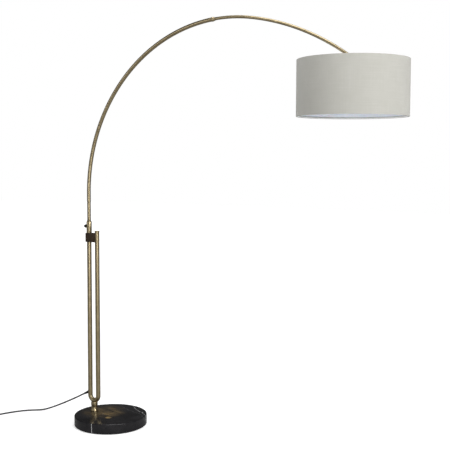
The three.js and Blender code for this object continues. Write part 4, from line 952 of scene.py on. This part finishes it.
for name, finish in (
    ("base_washer", zinc), ("base_bolt", zinc), ("sleeve_liner", nylon), ("guide_bush", nylon),
    ("clamp_pad", brass), ("joint_stud", zinc), ("leg_flex", cord_grey), ("arm_flex", cord_grey),
    ("holder_lock_nut", zinc), ("holder_insert", ceramic), ("holder_contact", brass),
    ("foot_switch_contacts", nylon),
):
    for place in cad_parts[name].material_slots:
        place.material = finish


# ---- Studio ----
# A pale floor that runs back out of sight, a broad light from the right, two weaker ones from the front, and
# one above.

paper, tree, shader = new_finish("floor_paper", Roughness=0.9)
mottle = add_node(tree, "ShaderNodeTexNoise", {"Vector": placed_on(tree), "Scale": 3.0, "Detail": 2.0})
pale = shades(tree, mottle.outputs["Fac"], (0.90, 0.90, 0.90), (0.92, 0.92, 0.92))
ray = add_node(tree, "ShaderNodeLightPath").outputs
mirrored = shades(tree, ray["Is Glossy Ray"], (0, 0, 0), (0.26, 0.26, 0.26))
tree.links.new(pale, mirrored.node.inputs["A"])
tree.links.new(mirrored, shader.inputs["Base Color"])
shader.inputs["Emission Color"].default_value = (1, 1, 1, 1)
away = add_node(tree, "ShaderNodeVectorMath", {0: placed_on(tree)}, operation="LENGTH").outputs["Value"]
lift = between(tree, away, 1.0, 5.0, 0.44, 1.0)
tree.links.new(sums(tree, "MULTIPLY", ray["Is Camera Ray"], lift), shader.inputs["Emission Strength"])
bm = bmesh.new()
bmesh.ops.create_grid(bm, x_segments=4, y_segments=4, size=15)
floor_mesh = bpy.data.meshes.new("floor")
bm.to_mesh(floor_mesh)
bm.free()
floor_mesh.materials.append(paper)
floor = bpy.data.objects.new("floor", floor_mesh)
bpy.context.collection.objects.link(floor)

world = bpy.data.worlds.new("studio")
bpy.context.scene.world = world
world.use_nodes = True
sky = world.node_tree
plain = sky.nodes["Background"]
path = add_node(sky, "ShaderNodeLightPath").outputs
dimmed = add_node(sky, "ShaderNodeMix", {"Factor": path["Is Glossy Ray"], "A": 0.50, "B": 0.065},
                  data_type="FLOAT")
seen = add_node(sky, "ShaderNodeMix", {"Factor": path["Is Camera Ray"], "B": 1.0}, data_type="FLOAT")
sky.links.new(dimmed.outputs["Result"], seen.inputs["A"])
plain.inputs["Color"].default_value = (1, 1, 1, 1)
sky.links.new(seen.outputs["Result"], plain.inputs["Strength"])
bpy.context.scene.view_settings.view_transform = "Standard"


def soft_light(name, place, target, size, power):
    """A square light at a place, turned to a target."""
    lamp = bpy.data.lights.new(name, "AREA")
    lamp.shape, lamp.size, lamp.energy = "SQUARE", size, power
    holder = bpy.data.objects.new(name, lamp)
    bpy.context.collection.objects.link(holder)
    holder.location = place
    holder.rotation_euler = (Vector(target) - Vector(place)).to_track_quat("-Z", "Y").to_euler()


soft_light("key", (4.4, -1.2, 2.3), (0.6, 0, 1.1), 1.6, 105)
soft_light("front", (2.6, -3.4, 0.7), (0, 0, 0.6), 1.2, 26)
soft_light("fill", (-1.8, -3.6, 1.8), (0.2, 0, 0.9), 1.6, 14)
soft_light("top", (0.6, -0.4, 4.0), (0.5, 0, 0.8), 2.0, 45)

camera_data = bpy.data.cameras.new("camera")
camera_data.lens = 69.53
camera_data.sensor_width = 36
camera = bpy.data.objects.new("camera", camera_data)
bpy.context.collection.objects.link(camera)
camera.matrix_world = (Matrix.Translation((2.3547, -2.8781, 1.1427))
                       @ Matrix.Rotation(math.radians(31.699), 4, "Z")
                       @ Matrix.Rotation(math.radians(90 - 4.313), 4, "X")
                       @ Matrix.Rotation(math.radians(0.215), 4, "Z"))
bpy.context.scene.camera = camera
